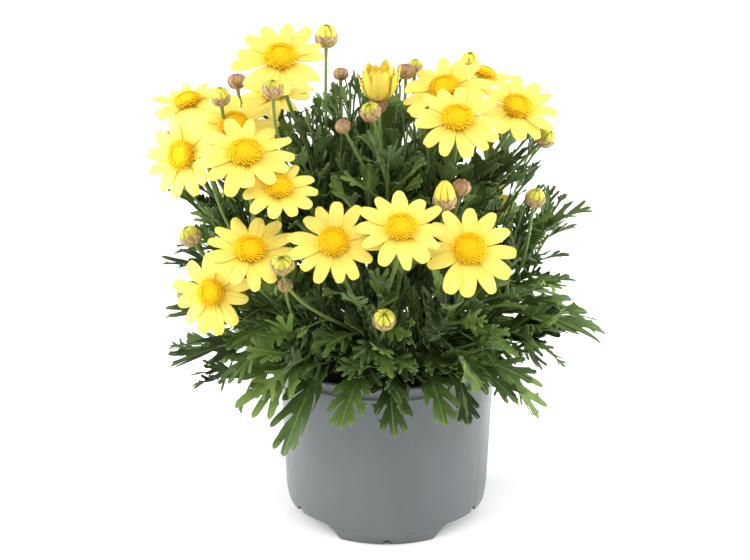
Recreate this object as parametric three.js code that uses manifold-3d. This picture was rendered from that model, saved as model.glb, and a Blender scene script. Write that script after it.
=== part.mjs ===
// A potted marguerite daisy in a round plastic nursery pot, as a three.js scene graph.
// Millimetres, +Z up, -Y is the front. The origin is on the ground, on the pot's axis.
// Leafy stems radiate from one point just above the soil. Each owns a cone of space round its axis, and its
// leaves are bent to stay in that cone, clear of the blooms, the buds and the pot.
import * as THREE from "three";
import { mergeVertices } from "three/addons/utils/BufferGeometryUtils.js";
import Module from "manifold-3d";

const wasm = await Module();
wasm.setup();

const V = (x, y, z) => new THREE.Vector3(x, y, z);
const UP = V(0, 0, 1);
const FIT_GAP = 0.3; // between pieces that rest on each other

// Pot
const POT_HEIGHT = 108;
const RIM_RADIUS = 69;
const RIM_BAND = 8.8;
const RIM_SLOPE = 3; // the height of the slope inside, from the rim's band down to the wall
const WALL_TOP_RADIUS = 67.6;
const WALL_LOW_RADIUS = 63.7;
const WALL_LOW_Z = 20;
const FOOT_RADIUS = 57.6;
const FOOT_RING = 2.2; // the foot ring's thickness
// The rounded corner, by its distance out from the foot and its height.
const CORNER = [
  { out: 2.4, z: 5.5 },
  { out: 4.8, z: 11.5 },
];
const INNER_CORNER = 2.6; // how far the floor's edge stands out from the foot
const WALL = 1.6;
const FLOOR_UNDERSIDE = 10.6;
const FLOOR = 1.6;
const POT_SIDES = 33;
const FOOT_COUNT = 3;
const ARCH_TOP_HALF = 25; // half the width of the arch between two feet, at its top
const ARCH_FOOT_HALF = 29.2; // and at the ground
const ARCH_ROUND = 2;
const NOTCH_HALF = 2.8;
const NOTCH_HEIGHT = 3.6;

// Soil
const SOIL_TOP = 98;
const SOIL_RELIEF = 1.6;
const SOIL_RING = 0.62; // a ring of bumps, as a share of the soil's radius
const SOIL_SIDES = 20;
const STEM_HOLE_BOTTOM = 84;
const HOLE_SIDES = 5;
const HOLE_CLEARANCE = 1.6;

// Foliage
const CROWN = V(0, 0, 97); // the point that the stems radiate from
const CELL_MARGIN = 0.9; // between a leaf and the wall of its stem's cone
const CELL_SOFTNESS = 5; // the depth over which a leaf bends along that wall
const BLADE = 0.9;
const FOLD = 0.3; // how far a leaf's edge stands up from its rib, as a share of its distance out
const LOBE_REACH = [0.8, 1.15]; // lobes are this much shorter or longer
const LOBE_SLIDE = 0.02; // and this much nearer the tip or the root
const STEM_RADIUS = 2.0;
const STEM_SIDES = 4;
const STALK_RADIUS = 1.3;
const STALK_SIDES = 3;
const STALK_SPACING = 0.08; // between stalks along their stem, as a share of it
const BUD_STALK_RADIUS = 1.1;
const STALK_REACH = 0.36; // how far a flower stalk keeps its first and last direction, as a share of it
const GOLDEN_ANGLE = THREE.MathUtils.degToRad(137.5);

// A stem's leaves run from its tip, as 0, to low on its outside, as 1.
const LEAF_RULE = {
  spread: 27, // degrees from the stem's axis to its outermost leaves' tips
  twist: 0.3, // how far a leaf strays from the golden angle, in radians
  size: [0.88, 1.1],
  beyond: [0.72, 0.22], // how far tips stand beyond the stem, first and last, as a share of the leaf
  roots: [0.98, 0.5], // where leaves grow on the stem, first and last
  arch: 0.16,
  droop: 0.14,
};

// Flower heads
const DISC_SHARE = 0.375; // the disc's radius, as a share of the bloom's
const CUP_SHARE = 0.315; // the cup's
const CUP_DEPTH = 8;
const DISC_SIDES = 10;
const FLORET_BUMP = 0.055; // how far the bumps of florets stand out or in, as a share of the disc's radius
const CUP_SIDES = 6;
const PETAL_ROOT = 0.42; // where neighbouring petals part, as a share of the bloom's radius
const PETAL_HALF = 0.42; // half a petal's width, as a share of the angle between petals
const PETAL_SHOULDER = 0.52; // where a petal is widest, as a share of its length
const PETAL_TIP = 0.43; // a petal's width at its blunt tip, as a share of its greatest
const PETAL_SWAY = 0.07;
const PETAL_RISE = 0.3;
const PETAL_REACH = [0.93, 1.03];
const PETAL_DROOP = [-2.4, 1.4];
const LIFT_BEND = 4; // an opening bloom's petals turn up within this distance
const RAYS_HEIGHT = FIT_GAP + BLADE / 2; // the sheet of the petals, above the cup
const DISC_BASE = BLADE + 2 * FIT_GAP; // the disc's underside, above the cup

// Each leafy stem: its cone's axis as degrees round from the front and up from the ground, its length,
// how far its foot stands from the pot's axis, and the number and length of its leaves.
const STEMS = {
  front: { around: -8, up: 36, length: 66, foot: 20, leaves: 6, leaf: 54 },
  front_right: { around: 32, up: 36, length: 72, foot: 20, leaves: 6, leaf: 58 },
  right: { around: 74, up: 36, length: 82, foot: 20, leaves: 6, leaf: 66 },
  back_right: { around: 118, up: 36, length: 78, foot: 20, leaves: 5, leaf: 66 },
  back: { around: 165, up: 36, length: 74, foot: 20, leaves: 5, leaf: 64 },
  back_left: { around: -140, up: 36, length: 78, foot: 20, leaves: 5, leaf: 66 },
  left: { around: -92, up: 38, length: 82, foot: 20, leaves: 6, leaf: 64 },
  front_left: { around: -48, up: 36, length: 72, foot: 20, leaves: 6, leaf: 58 },
  crown_left: { around: -70, up: 72, length: 112, foot: 7.5, leaves: 6, leaf: 74 },
  crown_front: { around: 0, up: 76, length: 116, foot: 7.5, leaves: 6, leaf: 74 },
  crown_right: { around: 68, up: 72, length: 112, foot: 7.5, leaves: 6, leaf: 74 },
  crown_back: { around: 175, up: 72, length: 112, foot: 7.5, leaves: 5, leaf: 74 },
};

// Each bloom: the point where its petals meet its cup, the way it faces, as degrees round from the front
// and up, its radius and its number of petals.
const BLOOMS = {
  top_left: { at: [-62.5, -35, 301], faces: [0, 56], radius: 27, petals: 13 },
  behind_top_left: { at: [-68, 14, 268], faces: [-20, 66], radius: 24, petals: 12 },
  far_left: { at: [-121, 12, 262], faces: [-40, 69], radius: 23, petals: 12 },
  left_upper: { at: [-91, -26, 258], faces: [-5, 52], radius: 25, petals: 12 },
  left_edge: { at: [-120, -42, 245], faces: [-33, 21], radius: 25, petals: 12 },
  left_middle: { at: [-82, -74, 254], faces: [0, 59], radius: 28, petals: 13 },
  left_small: { at: [-62, -88, 237.5], faces: [5, 58], radius: 22, petals: 11 },
  front_left: { at: [-79, -98, 203.5], faces: [6, 57], radius: 26, petals: 13 },
  low_left: { at: [-102, -80, 172.5], faces: [-20, 25], radius: 23, petals: 12 },
  front_first: { at: [-31, -102, 210], faces: [0, 44], radius: 25, petals: 13 },
  front_second: { at: [7.5, -106, 219.5], faces: [0, 52], radius: 25, petals: 12 },
  front_third: { at: [46.5, -100, 205], faces: [3, 44], radius: 27, petals: 12 },
  right_upper: { at: [40, -64, 272], faces: [0, 55], radius: 26, petals: 13 },
  right_behind: { at: [34, -32, 282], faces: [-28, 57], radius: 25, petals: 12 },
  right_edge: { at: [76, -34, 271], faces: [14, 56], radius: 24, petals: 12 },
  right_far: { at: [58, 12, 279], faces: [78, 72], radius: 21, petals: 11 },
  back_first: { at: [20, 100, 196], faces: [170, 44], radius: 25, petals: 12 },
  back_second: { at: [-40, 100, 192], faces: [-162, 40], radius: 26, petals: 12 },
  back_right: { at: [66, 90, 176], faces: [142, 32], radius: 25, petals: 12 },
  back_left: { at: [-88, 74, 196], faces: [-130, 32], radius: 25, petals: 12 },
};

// The one bloom that is just opening, its petals still held up round its disc.
const OPENING = { at: [-5, -30, 276], faces: [-5, 84], radius: 24, petals: 11, lift: 1.22, discRadius: 17 };

// Each bud: the middle of its head, the way it faces and its radius.
const BUDS = {
  tall: { at: [-36, -20, 311], faces: [20, 86], radius: 7 },
  top_left: { at: [-91, 8, 278], faces: [-30, 82], radius: 5.8 },
  before_top_left: { at: [-66, -64, 291], faces: [0, 82], radius: 6.6 },
  far_left: { at: [-131, 16, 242], faces: [-80, 60], radius: 5.4 },
  crown_small: { at: [-28, 10, 282], faces: [20, 84], radius: 4.6 },
  crown_round: { at: [-10, -58, 276], faces: [-30, 62], radius: 6.4 },
  crown_low: { at: [-26, -60, 268], faces: [-30, 55], radius: 4.6 },
  crown_right: { at: [11, -16, 290], faces: [0, 82], radius: 5.6 },
  right_top: { at: [51, 40, 281], faces: [20, 78], radius: 6.4 },
  right_edge: { at: [94, -24, 251], faces: [62, 50], radius: 6.4 },
  front_pointed: { at: [33, -72, 227], faces: [0, 82], radius: 7.2 },
  front_round: { at: [43, -66, 233], faces: [20, 66], radius: 5.6 },
  right_low: { at: [87, -52, 222], faces: [30, 74], radius: 6.2 },
  front_low: { at: [-2, -110, 167], faces: [0, 52], radius: 6.8 },
  left_low: { at: [-116, -60, 201], faces: [-70, 62], radius: 6.8 },
  before_front_left: { at: [-60, -118, 203], faces: [0, 56], radius: 6.6 },
};

// Leaves that shape the outline: their stem, where on it they grow, their tip, and the height of their arch.
const LONG_LEAVES = [
  { stem: "left", from: 0.8, tip: [-138, -14, 168], arch: 16 },
  { stem: "left", from: 0.95, tip: [-127, 4, 208], arch: 18 },
  { stem: "left", from: 0.6, tip: [-136, -22, 136], arch: 20 },
  { stem: "front_left", from: 0.7, tip: [-130, -64, 120], arch: 20 },
  { stem: "front_left", from: 0.55, tip: [-62, -88, 72], arch: 34 },
  { stem: "front_left", from: 0.6, tip: [-80, -86, 96], arch: 26 },
  { stem: "front", from: 0.6, tip: [-28, -98, 94], arch: 20 },
  { stem: "front", from: 0.5, tip: [4, -100, 90], arch: 26 },
  { stem: "front_right", from: 0.55, tip: [34, -94, 94], arch: 22 },
  { stem: "front_right", from: 0.65, tip: [78, -80, 102], arch: 20 },
  { stem: "right", from: 0.55, tip: [92, -58, 84], arch: 30 },
  { stem: "right", from: 0.8, tip: [131, -30, 122], arch: 24 },
  { stem: "right", from: 0.95, tip: [124, -16, 205], arch: 24 },
  { stem: "back_right", from: 0.7, tip: [108, 84, 112], arch: 24 },
  { stem: "back_right", from: 0.55, tip: [66, 76, 86], arch: 28 },
  { stem: "back_right", from: 0.85, tip: [136, 46, 100], arch: 26 },
  { stem: "back", from: 0.7, tip: [22, 122, 108], arch: 24 },
  { stem: "back", from: 0.55, tip: [-14, 104, 84], arch: 30 },
  { stem: "back_left", from: 0.6, tip: [-94, 88, 104], arch: 26 },
  { stem: "back_left", from: 0.85, tip: [-106, 98, 152], arch: 16 },
  { stem: "crown_front", from: 0.88, tip: [-8, 4, 292], arch: 4 },
  { stem: "crown_front", from: 0.95, tip: [8, -10, 293], arch: 2 },
  { stem: "crown_front", from: 0.85, tip: [-25, -4, 281], arch: 4 },
  { stem: "crown_left", from: 0.9, tip: [-52, -14, 270], arch: 6 },
  { stem: "crown_right", from: 0.9, tip: [34, 8, 272], arch: 4 },
  { stem: "crown_right", from: 0.85, tip: [88, -6, 236], arch: 14 },
];

// Half of a leaf's outline, as shares of its length: along the rib, and out from it. Each lobe points
// forward from the hollow below it to the hollow above it.
const LEAF_STALK = [
  [0, 0.012],
  [0.34, 0.04],
];
const LOBES = [
  { tip: [0.6, 0.2], hollow: [0.54, 0.06] },
  { tip: [0.84, 0.23], hollow: [0.75, 0.058] },
  { tip: [0.98, 0.12], hollow: [0.89, 0.04] },
];

// A number source that gives the same run of draws for the same seed.
function seeded(seed) {
  let state = seed >>> 0;
  return () => {
    state = (state + 0x6d2b79f5) >>> 0;
    let t = state;
    t = Math.imul(t ^ (t >>> 15), t | 1);
    t ^= t + Math.imul(t ^ (t >>> 7), t | 61);
    return ((t ^ (t >>> 14)) >>> 0) / 4294967296;
  };
}

const between = (draw, low, high) => low + (high - low) * draw();

// The unit vector that lies so many degrees round from the front and up from the ground.
function heading(around, up) {
  const a = THREE.MathUtils.degToRad(around);
  const e = THREE.MathUtils.degToRad(up);
  return V(Math.cos(e) * Math.sin(a), -Math.cos(e) * Math.cos(a), Math.sin(e));
}

// A closed geometry as a solid, turned the right way out.
function solidOf(geometry) {
  const loose = geometry.index ? geometry.toNonIndexed() : geometry;
  const bare = new THREE.BufferGeometry().setAttribute("position", loose.getAttribute("position"));
  const merged = mergeVertices(bare, 1e-4);
  const triVerts = new Uint32Array(merged.index.array);
  const build = () =>
    new wasm.Manifold(
      new wasm.Mesh({ numProp: 3, vertProperties: merged.attributes.position.array, triVerts }),
    );
  const made = build();
  if (made.volume() >= 0) return made;
  for (let i = 0; i < triVerts.length; i += 3)
    [triVerts[i + 1], triVerts[i + 2]] = [triVerts[i + 2], triVerts[i + 1]];
  return build();
}

// A solid's one main body as a named mesh. Loose scraps and sealed hollows are left behind.
function meshOf(solid, name, material) {
  const bodies = solid.decompose();
  const main = bodies.reduce((a, b) => (b.volume() > a.volume() ? b : a));
  const { numVert, numProp, vertProperties, triVerts } = main.getMesh();
  const positions = new Float32Array(numVert * 3);
  for (let i = 0; i < numVert; i++)
    positions.set(vertProperties.subarray(i * numProp, i * numProp + 3), i * 3);
  const geometry = new THREE.BufferGeometry()
    .setAttribute("position", new THREE.BufferAttribute(positions, 3))
    .setIndex(new THREE.BufferAttribute(triVerts, 1));
  geometry.computeVertexNormals();
  const mesh = new THREE.Mesh(geometry, material);
  mesh.name = name;
  return mesh;
}

// A turned solid about +Z from a profile of [radius, height] points.
function turned(profile, sides) {
  const points = profile.map(([r, z]) => new THREE.Vector2(r, z));
  return new THREE.LatheGeometry(points, sides).rotateX(Math.PI / 2);
}

// A round rod along a curve.
function rod(curve, radius, sides, steps) {
  const corners = Array.from({ length: sides }, (_, i) => {
    const a = (2 * Math.PI * i) / sides;
    return new THREE.Vector2(radius * Math.cos(a), radius * Math.sin(a));
  });
  const options = { steps, extrudePath: curve, bevelEnabled: false };
  return solidOf(new THREE.ExtrudeGeometry(new THREE.Shape(corners), options));
}

// A thin closed blade from the points of its middle sheet, its triangles and its outline. The points
// listed in `sharp` are single ones, where the blade runs out to a tip.
function blade(points, triangles, outline, thickness, sharp = []) {
  const normals = points.map(() => V(0, 0, 0));
  for (const [a, b, c] of triangles) {
    const across = points[b].clone().sub(points[a]);
    const face = across.cross(points[c].clone().sub(points[a]));
    for (const i of [a, b, c]) normals[i].add(face);
  }
  const half = points.map((p, i) => (sharp.includes(i) ? 0 : thickness / 2));
  const upper = points.map((p, i) => p.clone().addScaledVector(normals[i].normalize(), half[i]));
  const lower = points.map((p, i) => p.clone().addScaledVector(normals[i], -half[i]));
  const corners = [];
  for (const [a, b, c] of triangles) corners.push(upper[a], upper[b], upper[c], lower[a], lower[c], lower[b]);
  outline.forEach((a, i) => {
    const b = outline[(i + 1) % outline.length];
    if (half[a]) corners.push(upper[b], upper[a], lower[a]);
    if (half[b]) corners.push(upper[b], lower[a], lower[b]);
  });
  return solidOf(new THREE.BufferGeometry().setFromPoints(corners));
}

// The frame of a flower head: +Z along the way it faces.
function headMatrix(at, faces, spin) {
  const turn = new THREE.Quaternion().setFromUnitVectors(UP, heading(...faces));
  turn.multiply(new THREE.Quaternion().setFromAxisAngle(UP, spin));
  return new THREE.Matrix4().compose(V(...at), turn, V(1, 1, 1));
}

// Bends p out of the space that each bloom and bud takes: behind a bloom, and away from a bud.
const BLOOM_ZONE = { below: -10, above: 26, beside: 3, soft: 12 };
const BUD_CLEARANCE = 3.5;
function clearHeads(p) {
  for (const { at, faces, radius } of [...Object.values(BLOOMS), OPENING]) {
    const facing = heading(...faces);
    const from = p.clone().sub(V(...at));
    const height = from.dot(facing);
    const out = from.addScaledVector(facing, -height).length();
    const edge = radius + BLOOM_ZONE.beside;
    const share = 1 - THREE.MathUtils.smoothstep(out, edge, edge + BLOOM_ZONE.soft);
    if (height > BLOOM_ZONE.below && height < BLOOM_ZONE.above)
      p.addScaledVector(facing, (BLOOM_ZONE.below - height) * share);
  }
  for (const { at, radius } of Object.values(BUDS)) {
    const from = p.clone().sub(V(...at));
    const clear = radius + BUD_CLEARANCE;
    if (from.length() < clear) p.copy(V(...at)).addScaledVector(from.normalize(), clear);
  }
}

const AXES = Object.fromEntries(Object.entries(STEMS).map(([k, s]) => [k, heading(s.around, s.up)]));

// Bends p back into the cone of its own stem.
function stayInCone(p, stem) {
  for (let pass = 0; pass < 2; pass++)
    for (const [other, axis] of Object.entries(AXES)) {
      if (other === stem) continue;
      const inward = AXES[stem].clone().sub(axis).normalize();
      const depth = p.clone().sub(CROWN).dot(inward);
      const soft = CELL_MARGIN + CELL_SOFTNESS;
      if (depth < soft)
        p.addScaledVector(
          inward,
          CELL_MARGIN + CELL_SOFTNESS * Math.exp((depth - soft) / CELL_SOFTNESS) - depth,
        );
    }
}

// Bends p over the rim and down outside the pot, round a rounded edge that lies clear of it.
const EDGE = { radius: RIM_RADIUS - 6, z: POT_HEIGHT - 6, clear: 13 };
function clearPot(p) {
  const r = Math.hypot(p.x, p.y);
  const out = r - EDGE.radius;
  const over = p.z - EDGE.z;
  let [newOut, newOver] = [out, over];
  if (out <= 0) newOver = Math.max(over, EDGE.clear);
  else if (over <= 0) newOut = Math.max(out, EDGE.clear);
  else {
    const grow = Math.max(1, EDGE.clear / Math.hypot(out, over));
    [newOut, newOver] = [out * grow, over * grow];
  }
  const scale = r > 0 ? (EDGE.radius + newOut) / r : 1;
  p.set(p.x * scale, p.y * scale, EDGE.z + newOver);
}

// A lobed leaf along a curve. It faces the way that `toward` points, and folds up a little along its rib.
function leaf(curve, length, toward, stem, lobes, draw) {
  const points = [];
  const sharp = [];
  const add = (along, out, side) => {
    const t = Math.min(along, 1);
    const tangent = curve.getTangent(t);
    const width = toward.clone().cross(tangent).normalize();
    const face = tangent.clone().cross(width).normalize();
    const p = curve.getPoint(t);
    p.addScaledVector(width, side * out * length).addScaledVector(face, FOLD * out * length);
    clearHeads(p);
    stayInCone(p, stem);
    clearPot(p);
    return points.push(p) - 1;
  };
  const edges = [-1, 1].map((side) => {
    const edge = LEAF_STALK.map(([along, out]) => [add(along, out, side)]);
    for (const { tip, hollow } of lobes) {
      const reach = between(draw, ...LOBE_REACH);
      const slide = between(draw, -LOBE_SLIDE, LOBE_SLIDE);
      edge.push([add(hollow[0], hollow[1], side), add(tip[0] + slide, tip[1] * reach, side)]);
      sharp.push(points.length - 1);
    }
    return edge;
  });
  const end = add(1, 0, 1);
  sharp.push(end);
  const triangles = [];
  const [left, right] = edges;
  for (let i = 0; i + 1 < left.length; i++) {
    const [l0, l1, r0, r1] = [left[i][0], left[i + 1][0], right[i][0], right[i + 1][0]];
    triangles.push([l0, r0, r1], [l0, r1, l1]);
    if (left[i + 1].length > 1) triangles.push([l0, l1, left[i + 1][1]]);
    if (right[i + 1].length > 1) triangles.push([r0, right[i + 1][1], r1]);
  }
  triangles.push([left.at(-1)[0], right.at(-1)[0], end]);
  const rim = (edge) => edge.flatMap(([inner, tip]) => (tip === undefined ? [inner] : [tip, inner]));
  return blade(points, triangles, [...rim(right), end, ...rim(left).reverse()], BLADE, sharp);
}

// The curve of a stem, from its foot in the soil along its cone's axis.
function stemCurve({ around, up, length, foot }) {
  const outward = heading(around, 0);
  return new THREE.CatmullRomCurve3([
    outward.clone().multiplyScalar(foot).setZ(STEM_HOLE_BOTTOM + FIT_GAP),
    outward.clone().multiplyScalar(foot + 1).setZ(SOIL_TOP + 3),
    CROWN.clone().addScaledVector(heading(around, up - 3), 0.55 * length),
    CROWN.clone().addScaledVector(heading(around, up), length),
  ]);
}

// A flower stalk: it leaves the stem along it and meets the head from straight behind.
function stalkCurve(stem, at, faces, back, share) {
  const start = stemCurve(STEMS[stem]).getPoint(share);
  const end = V(...at).addScaledVector(heading(...faces), -back);
  const reach = STALK_REACH * start.distanceTo(end);
  const near = start.clone().addScaledVector(AXES[stem], reach);
  const far = end.clone().addScaledVector(heading(...faces), -reach);
  return new THREE.CubicBezierCurve3(start, near, far, end);
}

// The stem whose cone holds a point.
function ownerOf(at) {
  const from = V(...at).sub(CROWN);
  return Object.keys(AXES).reduce((a, b) => (AXES[b].dot(from) > AXES[a].dot(from) ? b : a));
}

// The ray florets of a bloom: petals cut nearly to the disc in one thin sheet.
function rays({ at, faces, radius, petals, lift = 0 }, draw) {
  const points = [];
  const root = PETAL_ROOT * radius;
  const place = (angle, r, rise) => {
    const outer = r - root;
    const tilt = lift * Math.min(1, outer / LIFT_BEND);
    const flat = root + outer * Math.cos(tilt);
    const high = RAYS_HEIGHT + rise + outer * Math.sin(tilt);
    return points.push(V(flat * Math.cos(angle), flat * Math.sin(angle), high)) - 1;
  };
  const step = (2 * Math.PI) / petals;
  const valleys = Array.from({ length: petals }, (_, i) => place((i - 0.5) * step, root, 0));
  const triangles = [];
  const outline = [];
  for (let i = 1; i + 1 < petals; i++) triangles.push([valleys[0], valleys[i], valleys[i + 1]]);
  for (let i = 0; i < petals; i++) {
    const middle = (i + between(draw, -PETAL_SWAY, PETAL_SWAY)) * step;
    const reach = radius * between(draw, ...PETAL_REACH);
    const droop = between(draw, ...PETAL_DROOP);
    const half = PETAL_HALF * step;
    const [a, b] = [valleys[i], valleys[(i + 1) % petals]];
    const shoulder = root + PETAL_SHOULDER * (reach - root);
    const [s0, s1] = [-1, 1].map((side) => place(middle + side * half, shoulder, PETAL_RISE));
    const [t0, t1] = [-1, 1].map((side) => place(middle + side * half * PETAL_TIP, reach, droop));
    triangles.push([a, s0, s1], [a, s1, b], [s0, t0, t1], [s0, t1, s1]);
    outline.push(a, s0, t0, t1, s1);
  }
  return blade(points, triangles, outline, BLADE).transform(headMatrix(at, faces, 0).elements);
}

// The disc of florets: a low dome whose rings of florets stand out as bumps.
function disc({ at, faces, radius }, spin) {
  const r = DISC_SHARE * radius;
  const rings = [
    [r * 0.92, DISC_BASE + 2.8],
    [r * 0.5, DISC_BASE + 4.3],
  ];
  const profile = [[0, DISC_BASE], [r, DISC_BASE], ...rings, [0, DISC_BASE + 4.4]];
  const geometry = turned(profile, DISC_SIDES);
  const place = geometry.getAttribute("position");
  for (let i = 0; i < place.count; i++) {
    const p = V().fromBufferAttribute(place, i);
    const ring = rings.findIndex(([out, z]) => Math.abs(p.z - z) < 0.05 && Math.hypot(p.x, p.y) > out / 2);
    if (ring < 0) continue;
    const turn = Math.round(((Math.atan2(p.y, p.x) + Math.PI / 2) * DISC_SIDES) / (2 * Math.PI));
    const bump = (turn + ring) % 2 === 0 ? FLORET_BUMP : -FLORET_BUMP;
    place.setXYZ(i, p.x * (1 + bump), p.y * (1 + bump), p.z + bump * r);
  }
  return solidOf(geometry).transform(headMatrix(at, faces, spin).elements);
}

// The green cup of bracts under a bloom.
function cup({ at, faces, radius }) {
  const r = CUP_SHARE * radius;
  const profile = [
    [0, -CUP_DEPTH],
    [r * 0.84, -CUP_DEPTH / 2],
    [r, 0],
    [0, 0],
  ];
  return solidOf(turned(profile, CUP_SIDES)).transform(headMatrix(at, faces, 0).elements);
}

// A bud's round head, a little flattened, with its closed tip.
function bud({ at, faces, radius: r }) {
  const profile = [
    [0, -0.95 * r],
    [0.55 * r, -0.78 * r],
    [r, -0.1 * r],
    [0.72 * r, 0.68 * r],
    [0, 0.98 * r],
  ];
  return solidOf(turned(profile, CUP_SIDES)).transform(headMatrix(at, faces, 0).elements);
}

const joined = (solids) => solids.reduce((a, b) => a.add(b));

const material = (color, roughness) => new THREE.MeshStandardMaterial({ color, roughness, metalness: 0 });
const GREEN = material(0x4a6b35, 0.6);
const YELLOW = material(0xfff06e, 0.55);
const ORANGE = material(0xf3b90f, 0.7);
const GREY = material(0x7c8487, 0.45);
const PEAT = material(0x1c1611, 1);

// The outside radius of the pot's tapered wall at a height.
const TAPER = (WALL_TOP_RADIUS - WALL_LOW_RADIUS) / (POT_HEIGHT - WALL_LOW_Z);
const wallAt = (z) => WALL_LOW_RADIUS + TAPER * (z - WALL_LOW_Z);

// The pot: a thin turned shell whose foot ring is cut into feet by low arches, each with a drain notch.
function pot() {
  const band = POT_HEIGHT - RIM_BAND;
  const floorTop = FLOOR_UNDERSIDE + FLOOR;
  const profile = [
    [0, FLOOR_UNDERSIDE],
    [FOOT_RADIUS - FOOT_RING, FLOOR_UNDERSIDE],
    [FOOT_RADIUS - FOOT_RING, 0],
    [FOOT_RADIUS, 0],
    ...CORNER.map(({ out, z }) => [FOOT_RADIUS + out, z]),
    [wallAt(WALL_LOW_Z), WALL_LOW_Z],
    [wallAt(band), band - 1],
    [RIM_RADIUS, band],
    [RIM_RADIUS, POT_HEIGHT],
    [RIM_RADIUS - WALL, POT_HEIGHT],
    [RIM_RADIUS - WALL, band],
    [wallAt(band) - WALL, band - RIM_SLOPE],
    [wallAt(WALL_LOW_Z) - WALL, WALL_LOW_Z],
    [FOOT_RADIUS + INNER_CORNER, floorTop],
    [0, floorTop],
  ];
  let body = solidOf(turned(profile, POT_SIDES));
  const outward = (shape, around, from, depth) => {
    const cutter = new THREE.ExtrudeGeometry(shape, { depth, bevelEnabled: false });
    cutter.rotateX(Math.PI / 2).translate(0, -from, 0);
    return solidOf(cutter.rotateZ(THREE.MathUtils.degToRad(around)));
  };
  const mirrored = (corners) =>
    new THREE.Shape([
      ...corners.map(([x, y]) => new THREE.Vector2(x, y)),
      ...corners.toReversed().map(([x, y]) => new THREE.Vector2(-x, y)),
    ]);
  const archTop = FLOOR_UNDERSIDE - 0.2;
  const arch = mirrored([
    [ARCH_FOOT_HALF, -1],
    [ARCH_TOP_HALF + ARCH_ROUND, archTop - 1.6 * ARCH_ROUND],
    [ARCH_TOP_HALF - ARCH_ROUND, archTop],
  ]);
  const notch = (low) =>
    mirrored([
      [NOTCH_HALF, low - 1],
      [NOTCH_HALF * 0.8, low + NOTCH_HEIGHT * 0.7],
      [NOTCH_HALF * 0.3, low + NOTCH_HEIGHT],
    ]);
  for (let i = 0; i < FOOT_COUNT; i++) {
    const foot = (360 / FOOT_COUNT) * i;
    const middle = foot + 180 / FOOT_COUNT;
    body = body.subtract(outward(arch, middle, FOOT_RADIUS / 2, FOOT_RADIUS));
    body = body.subtract(outward(notch(FLOOR_UNDERSIDE), middle, FOOT_RADIUS - 5, 12));
    body = body.subtract(outward(notch(0), foot, FOOT_RADIUS - 5, 12));
  }
  return body;
}

// The soil: it fills the pot to just under the rim, with a crumbly top and a plain hole for each stem.
function soil(curves, draw) {
  const floor = FLOOR_UNDERSIDE + FLOOR + FIT_GAP;
  const gap = WALL + 2 * FIT_GAP;
  const top = wallAt(SOIL_TOP) - gap;
  const profile = [
    [0, floor],
    [FOOT_RADIUS - 3 * FIT_GAP, floor],
    [WALL_LOW_RADIUS - gap, WALL_LOW_Z],
    [top, SOIL_TOP],
    [SOIL_RING * top, SOIL_TOP],
    [0, SOIL_TOP],
  ];
  const geometry = turned(profile, SOIL_SIDES);
  const place = geometry.getAttribute("position");
  const heights = new Map();
  for (let i = 0; i < place.count; i++) {
    const p = V().fromBufferAttribute(place, i);
    if (p.z < SOIL_TOP - 1 || Math.hypot(p.x, p.y) < 1) continue;
    const key = `${Math.round(10 * p.x)} ${Math.round(10 * p.y)}`;
    if (!heights.has(key)) heights.set(key, between(draw, -SOIL_RELIEF, SOIL_RELIEF));
    place.setZ(i, p.z + heights.get(key));
  }
  const holes = curves.map(({ radius, foot }) => {
    const bore = new THREE.CylinderGeometry(radius, radius, 30, HOLE_SIDES).rotateX(Math.PI / 2);
    return solidOf(bore.translate(foot.x, foot.y, STEM_HOLE_BOTTOM + 15));
  });
  return holes.reduce((body, hole) => body.subtract(hole), solidOf(geometry));
}

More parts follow.
